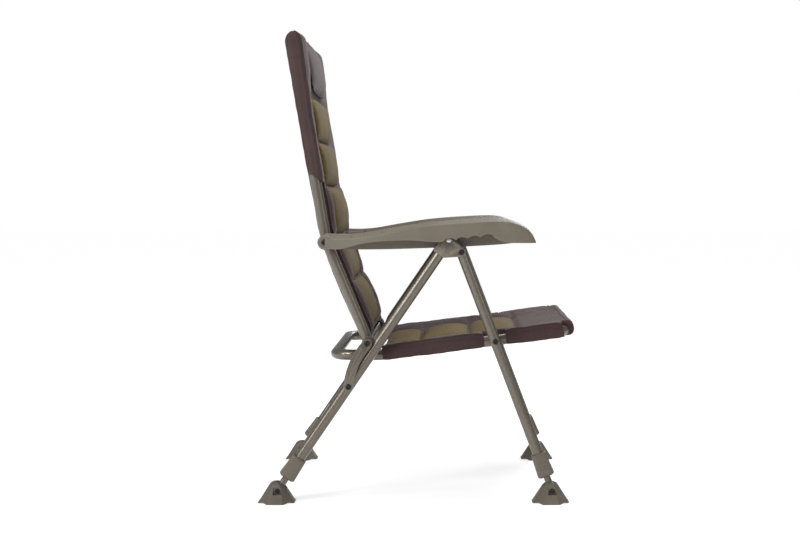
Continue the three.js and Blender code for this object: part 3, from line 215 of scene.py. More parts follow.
def route_rings(route, radius, sides):
    route = np.asarray(route, float)
    tangents = np.gradient(route, axis=0)
    tangents[0] = route[1] - route[0]
    tangents[-1] = route[-1] - route[-2]
    tangents /= np.linalg.norm(tangents, axis=1)[:, None]
    side = np.array([0.0, 1.0, 0.0]) if abs(tangents[0][1]) < 0.7 else np.array([0.0, 0.0, 1.0])
    turns = np.arange(sides) * 2 * math.pi / sides
    rings = []
    for point, tangent in zip(route, tangents):
        side = side - tangent * side.dot(tangent)
        side /= np.linalg.norm(side)
        other = np.cross(tangent, side)
        rings.append(point + radius * (np.outer(np.cos(turns), side) + np.outer(np.sin(turns), other)))
    return rings


def tube(name, route, radius, wall, sides=48):
    """An open-ended tube along a route, its mouths finished with the wall's thickness."""
    outer = route_rings(route, radius, sides)
    inner = route_rings(route, radius - wall, sides)
    return loft(name, outer + inner[::-1], closed=True)


def cord(name, route, radius, sides=10):
    return loft(name, route_rings(route, radius, sides), angle=60)


def stitches(name, route, length=3.4, gap=1.8, radius=0.5, sides=5):
    """A row of thread dashes with narrow ends along a line on the cloth, as one mesh."""
    end_share = 0.3
    route = np.asarray(route, float)
    lengths = np.concatenate([[0], np.cumsum(np.linalg.norm(np.diff(route, axis=0), axis=1))])
    points, faces = [], []
    for start in np.arange(gap, lengths[-1] - length - gap, length + gap):
        places = np.array([start, start + length / 2, start + length])
        dash = np.stack([np.interp(places, lengths, route[:, k]) for k in range(3)], axis=1)
        dash_rings = route_rings(dash, radius, sides)
        for end in (0, -1):
            dash_rings[end] = dash[end] + (dash_rings[end] - dash[end]) * end_share
        base = len(points)
        points += [p for ring in dash_rings for p in ring]
        index = [[base + r * sides + k for k in range(sides)] for r in range(3)]
        faces += ring_faces(index[0], index[1]) + ring_faces(index[1], index[2])
        faces += [tuple(index[0]), tuple(index[2])]
    return mesh_object(name, points, faces, 80)


def bent_route(corners, radii, step=4):
    """A route through corners, each rounded by an arc of its radius."""
    corners = [np.asarray(c, float) for c in corners]
    route = [corners[0]]
    for k in range(1, len(corners) - 1):
        corner = corners[k]
        inward = corners[k - 1] - corner
        inward /= np.linalg.norm(inward)
        outward = corners[k + 1] - corner
        outward /= np.linalg.norm(outward)
        turn = math.pi - math.acos(max(-1, min(1, inward.dot(outward))))
        radius = radii[k - 1]
        set_back = radius * math.tan(turn / 2)
        bisector = inward + outward
        bisector /= np.linalg.norm(bisector)
        centre = corner + bisector * radius / math.cos(turn / 2)
        start = corner + inward * set_back - centre
        end = corner + outward * set_back - centre
        steps = max(2, math.ceil(math.degrees(turn) / step))
        for j in range(steps + 1):
            share = j / steps
            point = start * math.sin((1 - share) * turn) + end * math.sin(share * turn)
            route.append(centre + point / math.sin(turn))
    route.append(corners[-1])
    return route


def turned(name, centre, profile, side=1, sides=40, hexagons=(), bevel=0.35, closed=False):
    """A turned piece across the chair through rings of (radius, face), capped or closed into itself."""
    sixth = math.pi / 3
    turns = np.arange(sides) * 2 * math.pi / sides
    flats = math.cos(sixth / 2) / np.cos(turns % sixth - sixth / 2)
    rings = []
    for k, (radius, face) in enumerate(profile):
        reach = radius * (flats if k in hexagons else 1)
        x, z = centre[0] + reach * np.cos(turns), centre[1] + reach * np.sin(turns)
        rings.append(np.stack([x, np.full(sides, side * face), z], axis=1))
    obj = loft(name, rings, closed)
    return soften(obj, bevel, angle=40) if bevel else obj


def refined(node, width=0.5, angle=25):
    """A copy of a CAD node with its flat faces merged and its edges rounded."""
    same_place = 0.002
    flat_angle = math.radians(1.5)
    obj = add_object("v_" + node, nodes[node].data.copy())
    obj.data.materials.clear()
    work = bmesh.new()
    work.from_mesh(obj.data)
    bmesh.ops.remove_doubles(work, verts=work.verts, dist=same_place * MM)
    bmesh.ops.dissolve_limit(work, angle_limit=flat_angle, verts=work.verts, edges=work.edges)
    work.to_mesh(obj.data)
    work.free()
    return soften(obj, width, angle)


# Materials


def shaded(colour, share):
    return tuple(min(1.0, c * share) for c in colour)


def grey(value):
    return (value, value, value)


def fill_inputs(node, inputs):
    """Gives each input of a node its number, its colour or the output of another node."""
    for name, value in inputs.items():
        socket = next(s for s in node.inputs if s.enabled and name in (s.name, s.identifier))
        if isinstance(value, bpy.types.NodeSocket):
            node.id_data.links.new(value, socket)
        elif isinstance(value, tuple):
            socket.default_value = (*value, 1)
        else:
            socket.default_value = value


class Finish:
    """A procedural material and the calls that add its nodes."""

    def __init__(self, name, slot=None):
        self.material = bpy.data.materials.new(name)
        self.material.use_nodes = True
        self.tree = self.material.node_tree
        self.place = self.add("TexCoord").outputs["Object"]

    def add(self, kind, inputs=None, **settings):
        node = self.tree.nodes.new("ShaderNode" + kind)
        for name, value in settings.items():
            setattr(node, name, value)
        fill_inputs(node, inputs or {})
        return node

    def noise(self, scale, detail=4.0, roughness=0.55):
        inputs = {"Vector": self.place, "Scale": scale, "Detail": detail, "Roughness": roughness}
        return self.add("TexNoise", inputs).outputs["Fac"]

    def wave(self, direction, period):
        """Bands across a direction, their period in millimetres."""
        scale = 2 * math.pi / (20 * period * MM)
        inputs = {"Vector": self.place, "Scale": scale, "Distortion": 0.6, "Detail": 1.0}
        return self.add("TexWave", inputs, bands_direction=direction).outputs["Fac"]

    def ramp(self, value, *stops):
        node = self.add("ValToRGB", {"Fac": value})
        elements = node.color_ramp.elements
        for k, (position, colour) in enumerate(stops):
            stop = elements[k] if k < 2 else elements.new(position)
            stop.position = position
            stop.color = (*colour, 1)
        return node.outputs["Color"]

    def span(self, value, low, high, from_low=0.0, from_high=1.0):
        """A value drawn from one range to another, low to high."""
        inputs = {"Value": value, "From Min": from_low, "From Max": from_high}
        return self.add("MapRange", {**inputs, "To Min": low, "To Max": high}).outputs["Result"]

    def times(self, first, second):
        return self.add("Math", {"Value": first, "Value_001": second}, operation="MULTIPLY").outputs[0]

    def mix(self, factor, first, second, blend="MIX"):
        inputs = {"Factor": factor, "A": first, "B": second}
        node = self.add("Mix", inputs, data_type="RGBA", blend_type=blend)
        return next(s for s in node.outputs if s.enabled)

    def bump(self, height, strength, distance, **before):
        """Bumps of a height in millimetres, on top of the normal given as Normal."""
        inputs = {"Height": height, "Strength": strength, "Distance": distance * MM}
        return self.add("Bump", {**inputs, **before}).outputs["Normal"]

    def worn_edge(self, full_at, most=1):
        """Nothing on flat faces, and most on sharp edges."""
        return self.span(self.add("NewGeometry").outputs["Pointiness"], 0, most, 0.53, full_at)

    def shade(self, inputs):
        fill_inputs(self.tree.nodes["Principled BSDF"], inputs)
        return self.material


def fabric(name, colour, slot="quilted_fabric", weave=1.1, sheen=0.1, crinkle=0.45):
    """Coated woven polyester: a fine weave, a soft sheen, slubs, and a slow drift of the dye."""
    finish = Finish(name, slot)
    slub = finish.noise(420, 2, 0.7)
    woven = finish.times(finish.wave("Y", weave), finish.wave("Z", weave))
    darker, lighter = shaded(colour, 0.84), shaded(colour, 1.17)
    base = finish.ramp(finish.noise(14, 3), (0.3, darker), (0.72, lighter), (0.5, colour))
    speck = finish.ramp(slub, (0.32, grey(0.8)), (0.7, grey(1.16)))
    cloth = finish.mix(0.7, base, speck, "MULTIPLY")
    creases = finish.bump(finish.noise(60, 3, 0.5), crinkle, 1.4)
    return finish.shade({
        "Base Color": finish.mix(0.5, cloth, finish.span(woven, 0.86, 1.08), "MULTIPLY"),
        "Roughness": finish.span(slub, 0.72, 0.88),
        "Normal": finish.bump(woven, 0.35, 0.5, Normal=creases),
        "Sheen Weight": sheen,
        "Sheen Roughness": 0.42,
        "Sheen Tint": (0.95, 0.88, 0.9),
        "Specular IOR Level": 0.22,
    })


def paint(name, slot, colour):
    """Satin powder coat on steel: a fine orange peel, faint scuffs, and edges rubbed lighter."""
    finish = Finish(name, slot)
    scuff = finish.noise(160, 5, 0.65)
    base = finish.ramp(finish.noise(9, 3), (0.3, shaded(colour, 0.93)), (0.7, shaded(colour, 1.07)))
    marks = finish.ramp(scuff, (0.42, grey(0.96)), (0.74, grey(1.06)))
    coated = finish.mix(0.6, base, marks, "MULTIPLY")
    rubbed = finish.times(finish.worn_edge(0.62), finish.span(scuff, 0, 1, 0.35, 0.65))
    return finish.shade({
        "Base Color": finish.mix(rubbed, coated, shaded(colour, 1.5)),
        "Roughness": finish.span(scuff, 0.3, 0.34),
        "Normal": finish.bump(finish.noise(900, 2, 0.5), 0.04, 0.12),
        "Metallic": 0.5,
        "Coat Weight": 0.35,
        "Coat Roughness": 0.16,
    })


def moulded(name, slot, colour, roughness=0.46, grain=0.22):
    """Moulded nylon: a pebbled grain, slow flow marks, and rims that hold dust."""
    finish = Finish(name, slot)
    flow = finish.noise(22, 3)
    pebble = finish.noise(1300, 2, 0.5)
    base = finish.ramp(flow, (0.3, shaded(colour, 0.92)), (0.7, shaded(colour, 1.08)))
    dots = finish.ramp(pebble, (0.35, grey(0.93)), (0.7, grey(1.07)))
    body = finish.mix(0.7, base, dots, "MULTIPLY")
    return finish.shade({
        "Base Color": finish.mix(finish.worn_edge(0.64, 0.6), body, shaded(colour, 1.4)),
        "Roughness": finish.span(flow, roughness - 0.05, roughness + 0.07),
        "Normal": finish.bump(pebble, grain, 0.25),
        "Specular IOR Level": 0.45,
    })


def metal(name, slot, colour, roughness):
    """Plated steel: turning marks and a mottled polish."""
    finish = Finish(name, slot)
    mottle = finish.noise(300, 4, 0.6)
    return finish.shade({
        "Base Color": finish.ramp(mottle, (0.3, shaded(colour, 0.85)), (0.72, shaded(colour, 1.2))),
        "Roughness": finish.span(mottle, roughness - 0.08, roughness + 0.12),
        "Normal": finish.bump(finish.noise(1500, 2), 0.15, 0.08),
        "Metallic": 0.9,
    })


satin = paint("satin_paint", "satin_paint", (0.112, 0.096, 0.075))
shell = moulded("moulded_shell", "moulded_shell", (0.126, 0.108, 0.080))
foot_nylon = moulded("moulded_foot", "moulded_shell", (0.108, 0.093, 0.072), 0.42, 0.35)
screw_steel = metal("black_screw", "black_steel", (0.030, 0.028, 0.027), 0.34)
zinc = metal("zinc_pin", "zinc_plated_steel", (0.52, 0.51, 0.49), 0.28)
lever_plastic = moulded("lever_plastic", "black_plastic", (0.020, 0.019, 0.019), 0.5)
spacer_plastic = moulded("spacer_plastic", "black_plastic", (0.024, 0.023, 0.022), 0.55)
plum_cloth = fabric("plum_cloth", (0.046, 0.0245, 0.0245), sheen=0.18)
hood_cloth = fabric("hood_cloth", (0.050, 0.031, 0.029))
olive_cloth = fabric("olive_cloth", (0.104, 0.073, 0.022), sheen=0.06, crinkle=0.3)
pillow_cloth = fabric("pillow_cloth", (0.068, 0.050, 0.052), "pillow_fabric", sheen=0.14, crinkle=0.3)
piping_cloth = fabric("piping_cloth", (0.040, 0.024, 0.025), weave=0.8)
thread = fabric("thread", (0.026, 0.018, 0.018), weave=0.5)


def dress(obj, material, body, *replaced):
    """Gives a piece its material and slot, and ties it to a body of the frame."""
    obj.data.materials.clear()
    obj.data.materials.append(material)
    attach(obj, body)
    if replaced:
        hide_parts(*replaced)
    return obj


def stand_in(obj, material, node):
    """Dresses a piece that takes the place of a CAD node, on that node's body."""
    return dress(obj, material, body_of[node], node)


# Legs and cross bars

leg_bottom = 48.3
leg_middle = 300
leg_beyond_bolt = 7
catch_above_leg = 13
cross_bar_radius = 9.5
dent_depth = 4.5
dent_half = 32
dent_stations = list(np.linspace(330, 440, 56))
front_leg_top = np.linalg.norm(apex - front_foot) + leg_beyond_bolt
rear_leg_top = (catch_point - rear_foot).dot(along(rear_lean, 1)) - catch_above_leg


def leg_route(foot, lean, side, heights):
    up = along(lean, 1)
    return [(foot[0] + up[0] * h, side * leg_plane, foot[1] + up[1] * h) for h in heights]


def press_dent(obj):
    """The rear leg's side towards the seat hinge is pressed in."""
    up = along(rear_lean, 1)
    over = along(rear_lean + 90, 1)
    hinge_height = (seat_hinge - rear_foot).dot(up)
    for vertex in obj.data.vertices:
        x, y, z = (c / MM for c in vertex.co)
        local = np.array([x, z]) - rear_foot
        height = local.dot(up)
        out = local.dot(over)
        share = (height - hinge_height) / dent_half
        if abs(share) >= 1:
            continue
        depth = dent_depth * (1 + math.cos(math.pi * share)) / 2
        outside = math.hypot(out, abs(y) - leg_plane) > tube_radius - tube_wall / 2
        limit = -tube_radius + depth + (0 if outside else tube_wall)
        if out < limit:
            moved = rear_foot + up * height + over * limit
            vertex.co = Vector((moved[0], y, moved[1])) * MM


for side, label in sides_of_chair:
    for end, foot, lean, heights in (
        ("front", front_foot, front_lean, [leg_bottom, leg_middle, front_leg_top]),
        ("rear", rear_foot, rear_lean, [leg_bottom] + dent_stations + [rear_leg_top]),
    ):
        leg = tube(f"{end}_tube_{label}", leg_route(foot, lean, side, heights), tube_radius, tube_wall)
        if end == "rear":
            press_dent(leg)
        stand_in(leg, satin, f"{end}_leg_{label}")

bar_end = leg_inner_face - touch_gap
for name, foot, lean, height in (
    ("front_cross_bar", front_foot, front_lean, 200),
    ("rear_cross_bar", rear_foot, rear_lean, 140),
):
    x, z = foot + along(lean, height)
    route = [(x, y, z) for y in (-bar_end, 0, bar_end)]
    stand_in(tube("v_" + name, route, cross_bar_radius, tube_wall), satin, name)

# Bent tubes of the seat and the backrest

seat_tail = 78
seat_corner_radius = 45
seat_slope_radius = 120
back_end_beyond_hinge = 7.6
back_bend_radius = 150
back_corner_radius = 60
slope_start = seat_pivot[0] - (seat_pivot[1] - rail_height) / math.tan(math.radians(seat_slope))
seat_front = seat_pivot[0] + seat_reach
seat_rear = seat_hinge[0] - seat_tail
back_low = seat_hinge - along(back_lower_lean, back_end_beyond_hinge)
back_top = arm_pivot + along(back_upper_lean, back_upper_length)


def seat_height(x):
    return rail_height + np.maximum(0, x - slope_start) * math.tan(math.radians(seat_slope))


def bent_tube(name, half, radii):
    """A tube through the corners of its left half and their mirror images."""
    corners = half + [(x, -y, z) for x, y, z in reversed(half)]
    return tube(name, bent_route(corners, radii + radii[::-1]), tube_radius, tube_wall)


front_height = float(seat_height(seat_front))
seat_half = [
    (seat_front, touch_gap, front_height),
    (seat_front, rail_plane, front_height),
    (slope_start, rail_plane, rail_height),
    (seat_rear, rail_plane, rail_height),
]
back_half = [(x, rail_plane, z) for x, z in (back_low, arm_pivot, back_top)]
seat_radii = [seat_corner_radius, seat_slope_radius, seat_corner_radius]
stand_in(bent_tube("seat_tube", seat_half, seat_radii), satin, "seat_frame")
back_radii = [back_bend_radius, back_corner_radius]
stand_in(bent_tube("back_tube", back_half, back_radii), satin, "backrest_frame")

# Bolts, pins and bushes, drawn as (radius, face) profiles across the chair

shank_radius = 4
bore_radius = 4.3
head_radius = 6.5
head_height = 2.6
socket_radius = 3.2
socket_depth = 1.6
nut_radius = 6.4
nut_height = 4
thin_nut_height = 1.8
knob_radius = 13
knob_height = 12
stud_radius = 7
flange_radius = 5.5
flange_height = 1
spacer_radius = 11
bush_flange_radius = 15
bush_radius = 6.2
boss_inner_face = 276
boss_outer_face = 303
knob_face = 299
rod_radius = 6
rod_collar_radius = 10
rod_collar_inner, rod_collar_outer = 227.6, 235.6
foot_head_radius = 5.4
foot_shank_radius = 3
foot_socket_radius = 2.2
foot_eye_half = 19.3


def stepped(face, *parts):
    """The profile of a stepped piece from its first face and the (radius, last face) of its parts."""
    profile = []
    for radius, last in parts:
        profile += [(radius, face), (radius, last)]
        face = last
    return profile


def bolt(inner, outer, end_height, end_radius=nut_radius):
    """A bolt through two faces, with a bevelled socket head outside and a nut, knob or stud inside."""
    low = inner - touch_gap
    base = outer + touch_gap
    top = base + head_height
    return stepped(low - end_height, (end_radius, low), (shank_radius, base)) + [
        (head_radius, base),
        (head_radius, top - 1.3),
        (head_radius - 0.6, top - 0.5),
        (head_radius - 1.5, top),
        (socket_radius + 0.2, top),
        (socket_radius, top - 0.3),
        (socket_radius, top - socket_depth),
    ]


def foot_screw():
    low, high = leg_plane - foot_eye_half, leg_plane + foot_eye_half
    top = high + head_height
    return stepped(low - head_height, (foot_head_radius, low), (foot_shank_radius, high)) + [
        (foot_head_radius, high),
        (foot_head_radius, top - 1.3),
        (foot_head_radius - 0.8, top - 0.2),
        (foot_head_radius - 1.5, top),
        (foot_socket_radius, top),
        (foot_socket_radius, top - 1.2),
    ]


ring_start = rail_outer_face + touch_gap
pin_inner = bracket_inner_face - touch_gap
pin_outer = bracket_outer_face + touch_gap
pin = stepped(
    pin_inner - flange_height,
    (flange_radius, pin_inner),
    (shank_radius, pin_outer),
    (flange_radius, pin_outer + flange_height),
)
bore = (bore_radius, ring_start)
spacer = stepped(ring_start, (spacer_radius, leg_inner_face - touch_gap), bore)
bush_flange = (bush_flange_radius, boss_inner_face - touch_gap)
bush = stepped(ring_start, bush_flange, (bush_radius, knob_face - touch_gap), bore)
stud_length = link_inner_face - lug_outer_face - 2 * touch_gap
apex_bolt = bolt(bracket_inner_face, bracket_outer_face, thin_nut_height)
seat_bolt = bolt(rail_inner_face, leg_outer_face, nut_height)
link_bolt = bolt(leg_inner_face, link_outer_face, nut_height)
arm_bolt = bolt(rail_inner_face, knob_face, knob_height, knob_radius)
link_stud = bolt(link_inner_face, link_outer_face, stud_length, stud_radius)
socket = (8, 9, 10)
nut_and_socket = (0, 1, *socket)

for side, label in sides_of_chair:
    for name, node, material, centre, profile, hexagons, bevel in (
        ("apex_screw", "apex_bolt", screw_steel, apex, apex_bolt, nut_and_socket, 0.15),
        ("seat_screw", "seat_pivot_bolt", screw_steel, seat_pivot, seat_bolt, nut_and_socket, 0.15),
        ("link_screw", "link_leg_bolt", screw_steel, link_pivot, link_bolt, nut_and_socket, 0.15),
        ("arm_screw", "armrest_bolt", screw_steel, arm_pivot, arm_bolt, socket, 0.15),
        ("link_stud", "link_seat_stud", screw_steel, seat_hinge, link_stud, socket, 0.15),
        ("rack_pin", "catch_pin", zinc, catch_point, pin, (), 0.3),
        ("seat_spacer", "seat_pivot_spacer", spacer_plastic, seat_pivot, spacer, (), 0.35),
        ("arm_bush_piece", "armrest_bush", screw_steel, arm_pivot, bush, (), 0.35),
        ("front_foot_screw", "front_foot_bolt", screw_steel, front_foot, foot_screw(), (8, 9), 0.12),
        ("rear_foot_screw", "rear_foot_bolt", screw_steel, rear_foot, foot_screw(), (8, 9), 0.12),
    ):
        made = turned(
            f"{name}_{label}", centre, profile, side, hexagons=hexagons, bevel=bevel,
            closed=bore in profile,
        )
        stand_in(made, material, f"{node}_{label}")

rod = stepped(
    -lug_outer_face,
    (rod_radius, -rod_collar_outer),
    (rod_collar_radius, -rod_collar_inner),
    (rod_radius, rod_collar_inner),
    (rod_collar_radius, rod_collar_outer),
    (rod_radius, lug_outer_face),
)
stand_in(turned("hinge_rod", seat_hinge, rod, bevel=0.4), screw_steel, "back_hinge_rod")

# Plates, collars, levers, extensions and feet keep their CAD shapes, with rounded edges

foot_rim_height = 9
rim_share = 0.45
finishes = (
    ("collar_lever", lever_plastic, 0.35),
    ("collar", foot_nylon, 0.9),
    ("mud_foot", foot_nylon, 0.8),
    ("leg_extension", satin, 0.3),
    ("apex_bracket", satin, 0.5),
    ("seat_hinge_lug", satin, 0.5),
    ("fold_link", satin, 0.6),
)


def flatten_scallops(foot):
    """Makes the arches of the rim shallower."""
    for vertex in foot.data.vertices:
        if vertex.co.z < foot_rim_height * MM:
            vertex.co.z *= rim_share
    foot.data.update()


for node in sorted(nodes):
    for part, material, width in finishes:
        if part in node:
            piece = refined(node, width)
            if part == "mud_foot":
                flatten_scallops(piece)
            stand_in(piece, material, node)
            break

# Armrests: lengths and heights from their pivot on the backrest

arm_width = arm_outer_face - arm_inner_face
arm_wall = 2.8
arm_crown = 6
arm_edge_round = 8.5
arm_solid_end = 24
least_rise = 1.2
scallop_half = 14.35
scallop_depth = 5
scallop_peaks = [(287.0, 10.5), (315.7, 13.0), (344.4, 16.4), (373.1, 19.8)]
skirt_end, nose_start = 272.6, 387.5
rest_rise = shank_radius + touch_gap
rack_margin = 14
rack_inner_face, rack_outer_face = 287.5, 292.5
notch_depth = 5
rib_half = 1
rib_depth = 13
rib_fit = 1.4


def smooth_table(rows, column=1):
    """A smooth curve through a table's rows that never overshoots them."""
    x, y = np.array([(row[0], row[column]) for row in rows], float).T
    step = np.diff(x)
    slope = np.diff(y) / step
    before, after = slope[:-1], slope[1:]
    rising_or_falling = before * after > 0
    total = np.where(rising_or_falling, before + after, 1)
    between = np.where(rising_or_falling, 2 * before * after / total, 0)
    tangent = np.concatenate([slope[:1], between, slope[-1:]])

    def at(place):
        place = min(max(place, x[0]), x[-1])
        k = min(len(x) - 2, max(0, int(np.searchsorted(x, place)) - 1))
        t = (place - x[k]) / step[k]
        return (
            y[k] * (2 * t**3 - 3 * t**2 + 1)
            + step[k] * tangent[k] * (t**3 - 2 * t**2 + t)
            + y[k + 1] * (3 * t**2 - 2 * t**3)
            + step[k] * tangent[k + 1] * (t**3 - t**2)
        )

    return at


arm_top_at = smooth_table([
    (0, 14.8), (43.5, 13.6), (72.6, 15), (154.7, 28.3), (236.8, 40.7), (319.1, 47.2),
    (396, 50.9), (420, 49.6), (438, 44.8), (462.8, 32.4), (476, 18.4), (483.5, 3.2),
])
arm_outer_foot = smooth_table([
    (0, -15.2), (29, -15.6), (55, -10.5), (84, -3), (138, 3.6), (193, 5.2), (262, 1.2), (skirt_end, 3.4),
])
arm_outer_nose = smooth_table([
    (nose_start, 12), (400.2, 5), (412, 1.6), (429.4, -0.9), (473, -1), (483.5, -1),
])
arm_inner_foot = smooth_table([
    (0, -15.2), (97, -17), (245, -13.4), (320.7, -10.2), (398.1, -5.8), (440, -2), (483.5, -1),
])
arm_plan_rows = [
    (0, 0.13, 0.62), (0.12, 0.13, 0.74), (0.24, 0, 0.88), (0.4, 0, 0.97), (0.55, 0, 1),
    (0.9, 0, 1), (0.96, 0.06, 0.95), (0.985, 0.15, 0.87), (1, 0.28, 0.74),
]
arm_inner_plan = smooth_table(arm_plan_rows, 1)
arm_outer_plan = smooth_table(arm_plan_rows, 2)


def outer_foot_at(x):
    """The height of the outer skirt's lower edge, with an arch over each rest."""
    if x < scallop_peaks[0][0] - scallop_half:
        return arm_outer_foot(x)
    for peak_x, peak_z in scallop_peaks:
        share = (x - peak_x) / (2 * scallop_half)
        if abs(x - peak_x) <= scallop_half:
            return peak_z - scallop_depth * (1 - math.cos(math.pi * share))
    return arm_outer_nose(x)


def arm_faces(x, inset):
    """Where the inner and the outer wall lie across the chair."""
    share = x / arm_length
    inner = arm_inner_face + arm_inner_plan(share) * arm_width + inset
    outer = arm_inner_face + arm_outer_plan(share) * arm_width - inset
    return inner, outer


def arm_section(x, inset):
    """A section of the shell, from the outer wall's foot over the top to the inner wall's foot."""
    inner, outer = arm_faces(x, inset)
    outer_foot = outer_foot_at(x)
    inner_foot = arm_inner_foot(x)
    highest_foot = max(outer_foot, inner_foot)
    top = max(arm_top_at(x) - inset, highest_foot + least_rise)
    room = min(arm_edge_round - inset, top - highest_foot - least_rise / 2, (outer - inner) / 2 - 1)
    radius = max(least_rise, room)
    crown = arm_crown * (1 - (x / arm_length) ** 8)
    corner = [
        (radius * (1 - math.cos(a)), top - radius * (1 - math.sin(a)))
        for a in np.linspace(0, math.pi / 2, 9)[1:]
    ]
    points = [(outer, outer_foot + (top - radius - outer_foot) * t) for t in np.linspace(0, 1, 7)]
    points += [(outer - back, z) for back, z in corner]
    for t in np.linspace(0, 1, 13)[1:-1]:
        y = (outer - radius) * (1 - t) + (inner + radius) * t
        points.append((y, top + crown * math.sin(math.pi * t) ** 0.9))
    points += [(inner + back, z) for back, z in reversed(corner)]
    points += [(inner, inner_foot + (top - radius - inner_foot) * t) for t in np.linspace(1, 0, 7)]
    return np.array([(x, y, z) for y, z in points])


def arm_shell(label, side):
    """The hollow moulding, solid near its pivot and at its tip, open below in between."""
    cavity_end = arm_length - 2 * arm_wall
    marks = (0, arm_solid_end, skirt_end, nose_start, cavity_end, arm_length)
    steps = (7, 60, 81, 34, 5)
    spans = [np.linspace(a, b, count) for a, b, count in zip(marks, marks[1:], steps)]
    stations = np.unique(np.concatenate(spans).round(4))
    sections = [arm_section(x, 0) for x in stations]
    hollow = [
        k for k, x in enumerate(stations) if arm_solid_end - 0.001 <= x <= cavity_end + 0.001
    ]
    count = len(sections[0])
    outer = [list(range(k * count, (k + 1) * count)) for k in range(len(stations))]
    inner = {}
    for k in hollow:
        start = len(sections) * count
        inner[k] = list(range(start, start + count))
        sections.append(arm_section(stations[k], arm_wall))
    faces = []
    for k in range(len(stations) - 1):
        a, b = outer[k], outer[k + 1]
        faces += [(a[j], a[j + 1], b[j + 1], b[j]) for j in range(count - 1)]
        if k in inner and k + 1 in inner:
            c, d = inner[k], inner[k + 1]
            faces += [(c[j + 1], c[j], d[j], d[j + 1]) for j in range(count - 1)]
            faces += [(a[0], b[0], d[0], c[0]), (b[-1], a[-1], c[-1], d[-1])]
        else:
            faces += [(a[0], b[0], b[-1], a[-1])]
    for k in (hollow[0], hollow[-1]):
        faces.append(tuple(inner[k]))
        faces.append((outer[k][0], inner[k][0], inner[k][-1], outer[k][-1]))
    faces += [tuple(outer[0]), tuple(outer[-1])]
    points = np.concatenate(sections)
    placed = [(arm_pivot[0] + x, side * y, arm_pivot[1] + z) for x, y, z in points]
    return mesh_object(f"arm_shell_{label}", placed, faces, 50)


def plate(name, outline, inner, outer, side, bevel):
    """A flat plate of the armrest with its outline in the side view."""
    points = [(arm_pivot[0] + x, side * y, arm_pivot[1] + z) for y in (inner, outer) for x, z in outline]
    count = len(outline)
    near, far = list(range(count)), list(range(count, 2 * count))
    obj = mesh_object(name, points, [tuple(near), tuple(far)] + ring_faces(near, far))
    return soften(obj, bevel, 35) if bevel else obj


def joined(name, objects):
    """Several closed pieces as one object."""
    work = bmesh.new()
    for obj in objects:
        work.from_mesh(obj.data)
    mesh = bpy.data.meshes.new(name)
    work.to_mesh(mesh)
    work.free()
    for obj in objects:
        bpy.data.objects.remove(obj)
    smooth_by_angle(mesh, 45)
    return add_object(name, mesh)


def rack_outline():
    """The rack's lower edge with a notch at each rest, and its top just under the shell's."""
    rests = [np.array([x, z + rest_rise]) for x, z in catch_rests]
    steps = [after - rest for rest, after in zip(rests, rests[1:])]
    start, end = rests[0][0] - rack_margin, rests[-1][0] + rack_margin
    outline = [(start, rests[0][1])]
    for k, (rest, step) in enumerate(zip(rests, steps + steps[-1:])):
        for share in np.linspace(-0.5, 0.5, 17)[min(k, 1):]:
            x, z = rest + step * share
            outline.append((x, z + notch_depth * math.cos(math.pi * share)))
    outline.append((end, rests[-1][1]))
    return outline + [(x, arm_top_at(x) - 1) for x in np.linspace(end, start, 8)]


boss_profile = [
    (6.5, boss_inner_face), (15.6, boss_inner_face), (17, 277.4), (17, 300.6), (16.2, 302.4),
    (14.8, boss_outer_face), (12.2, boss_outer_face), (11.6, 302.2), (8.6, 302.2), (8, 301.6),
    (8, knob_face), (6.5, knob_face),
]
for side, label in sides_of_chair:
    boss = turned(f"boss_{label}", arm_pivot, boss_profile, side, sides=56, bevel=0, closed=True)
    rack = plate(f"rack_{label}", rack_outline(), rack_inner_face, rack_outer_face, side, 0.4)
    ribs = []
    for x in (60, 130, 200):
        high = arm_top_at(x) + 1.2
        corners = ((-rib_half, -rib_depth), (rib_half, -rib_depth), (rib_half, 0), (-rib_half, 0))
        outline = [(x + dx, high + dz) for dx, dz in corners]
        ribs.append(plate(f"rib_{x}_{label}", outline, *arm_faces(x, rib_fit), side, 0))
    arm = joined(f"armrest_piece_{label}", [arm_shell(label, side), boss, rack] + ribs)
    stand_in(arm, shell, f"armrest_{label}")

# Fabric: places on the backrest and the seat

blend_half = 59
cover_side = 268.7
cover_limit = 268.9
cover_rounding = 9.0
pillow_half = 168
valley_half = pillow_half + 4
half_points = 45
ring_points = 2 * half_points + 2
piping_point = 22
ruffle_seed = 7
noise.seed_set(ruffle_seed)


def back_points(s, y, n):
    """Points at distance s up the backrest from its hinge, y across, n ahead of the tubes."""
    s, y, n = (np.asarray(v, float) for v in np.broadcast_arrays(s, y, n))
    low = along(back_lower_lean, 1)
    high = along(back_upper_lean, 1)
    start = arm_pivot - low * blend_half
    end = arm_pivot + high * blend_half
    t = np.clip((s - back_lower_length + blend_half) / (2 * blend_half), 0, 1)[..., None]
    curve = (1 - t) ** 2 * start + 2 * t * (1 - t) * arm_pivot + t**2 * end
    below = np.minimum(s - back_lower_length + blend_half, 0)[..., None] * low
    above = np.maximum(s - back_lower_length - blend_half, 0)[..., None] * high
    tangent = (1 - t) * low + t * high
    tangent /= np.linalg.norm(tangent, axis=-1, keepdims=True)
    forward = np.stack([tangent[..., 1], -tangent[..., 0]], axis=-1)
    place = curve + below + above + forward * n[..., None]
    return np.stack([place[..., 0], y, place[..., 1]], axis=-1)


seat_tilt = along(-seat_slope, 1)


def seat_points(x, y, n):
    x, y, n = (np.asarray(v, float) for v in np.broadcast_arrays(x, y, n))
    return np.stack([x + seat_tilt[0] * n, y, seat_height(x) + seat_tilt[1] * n], axis=-1)


def swell(share, power=0.42, low=0.3):
    return low + (1 - low) * np.sin(np.pi * np.clip(share, 0, 1)) ** power


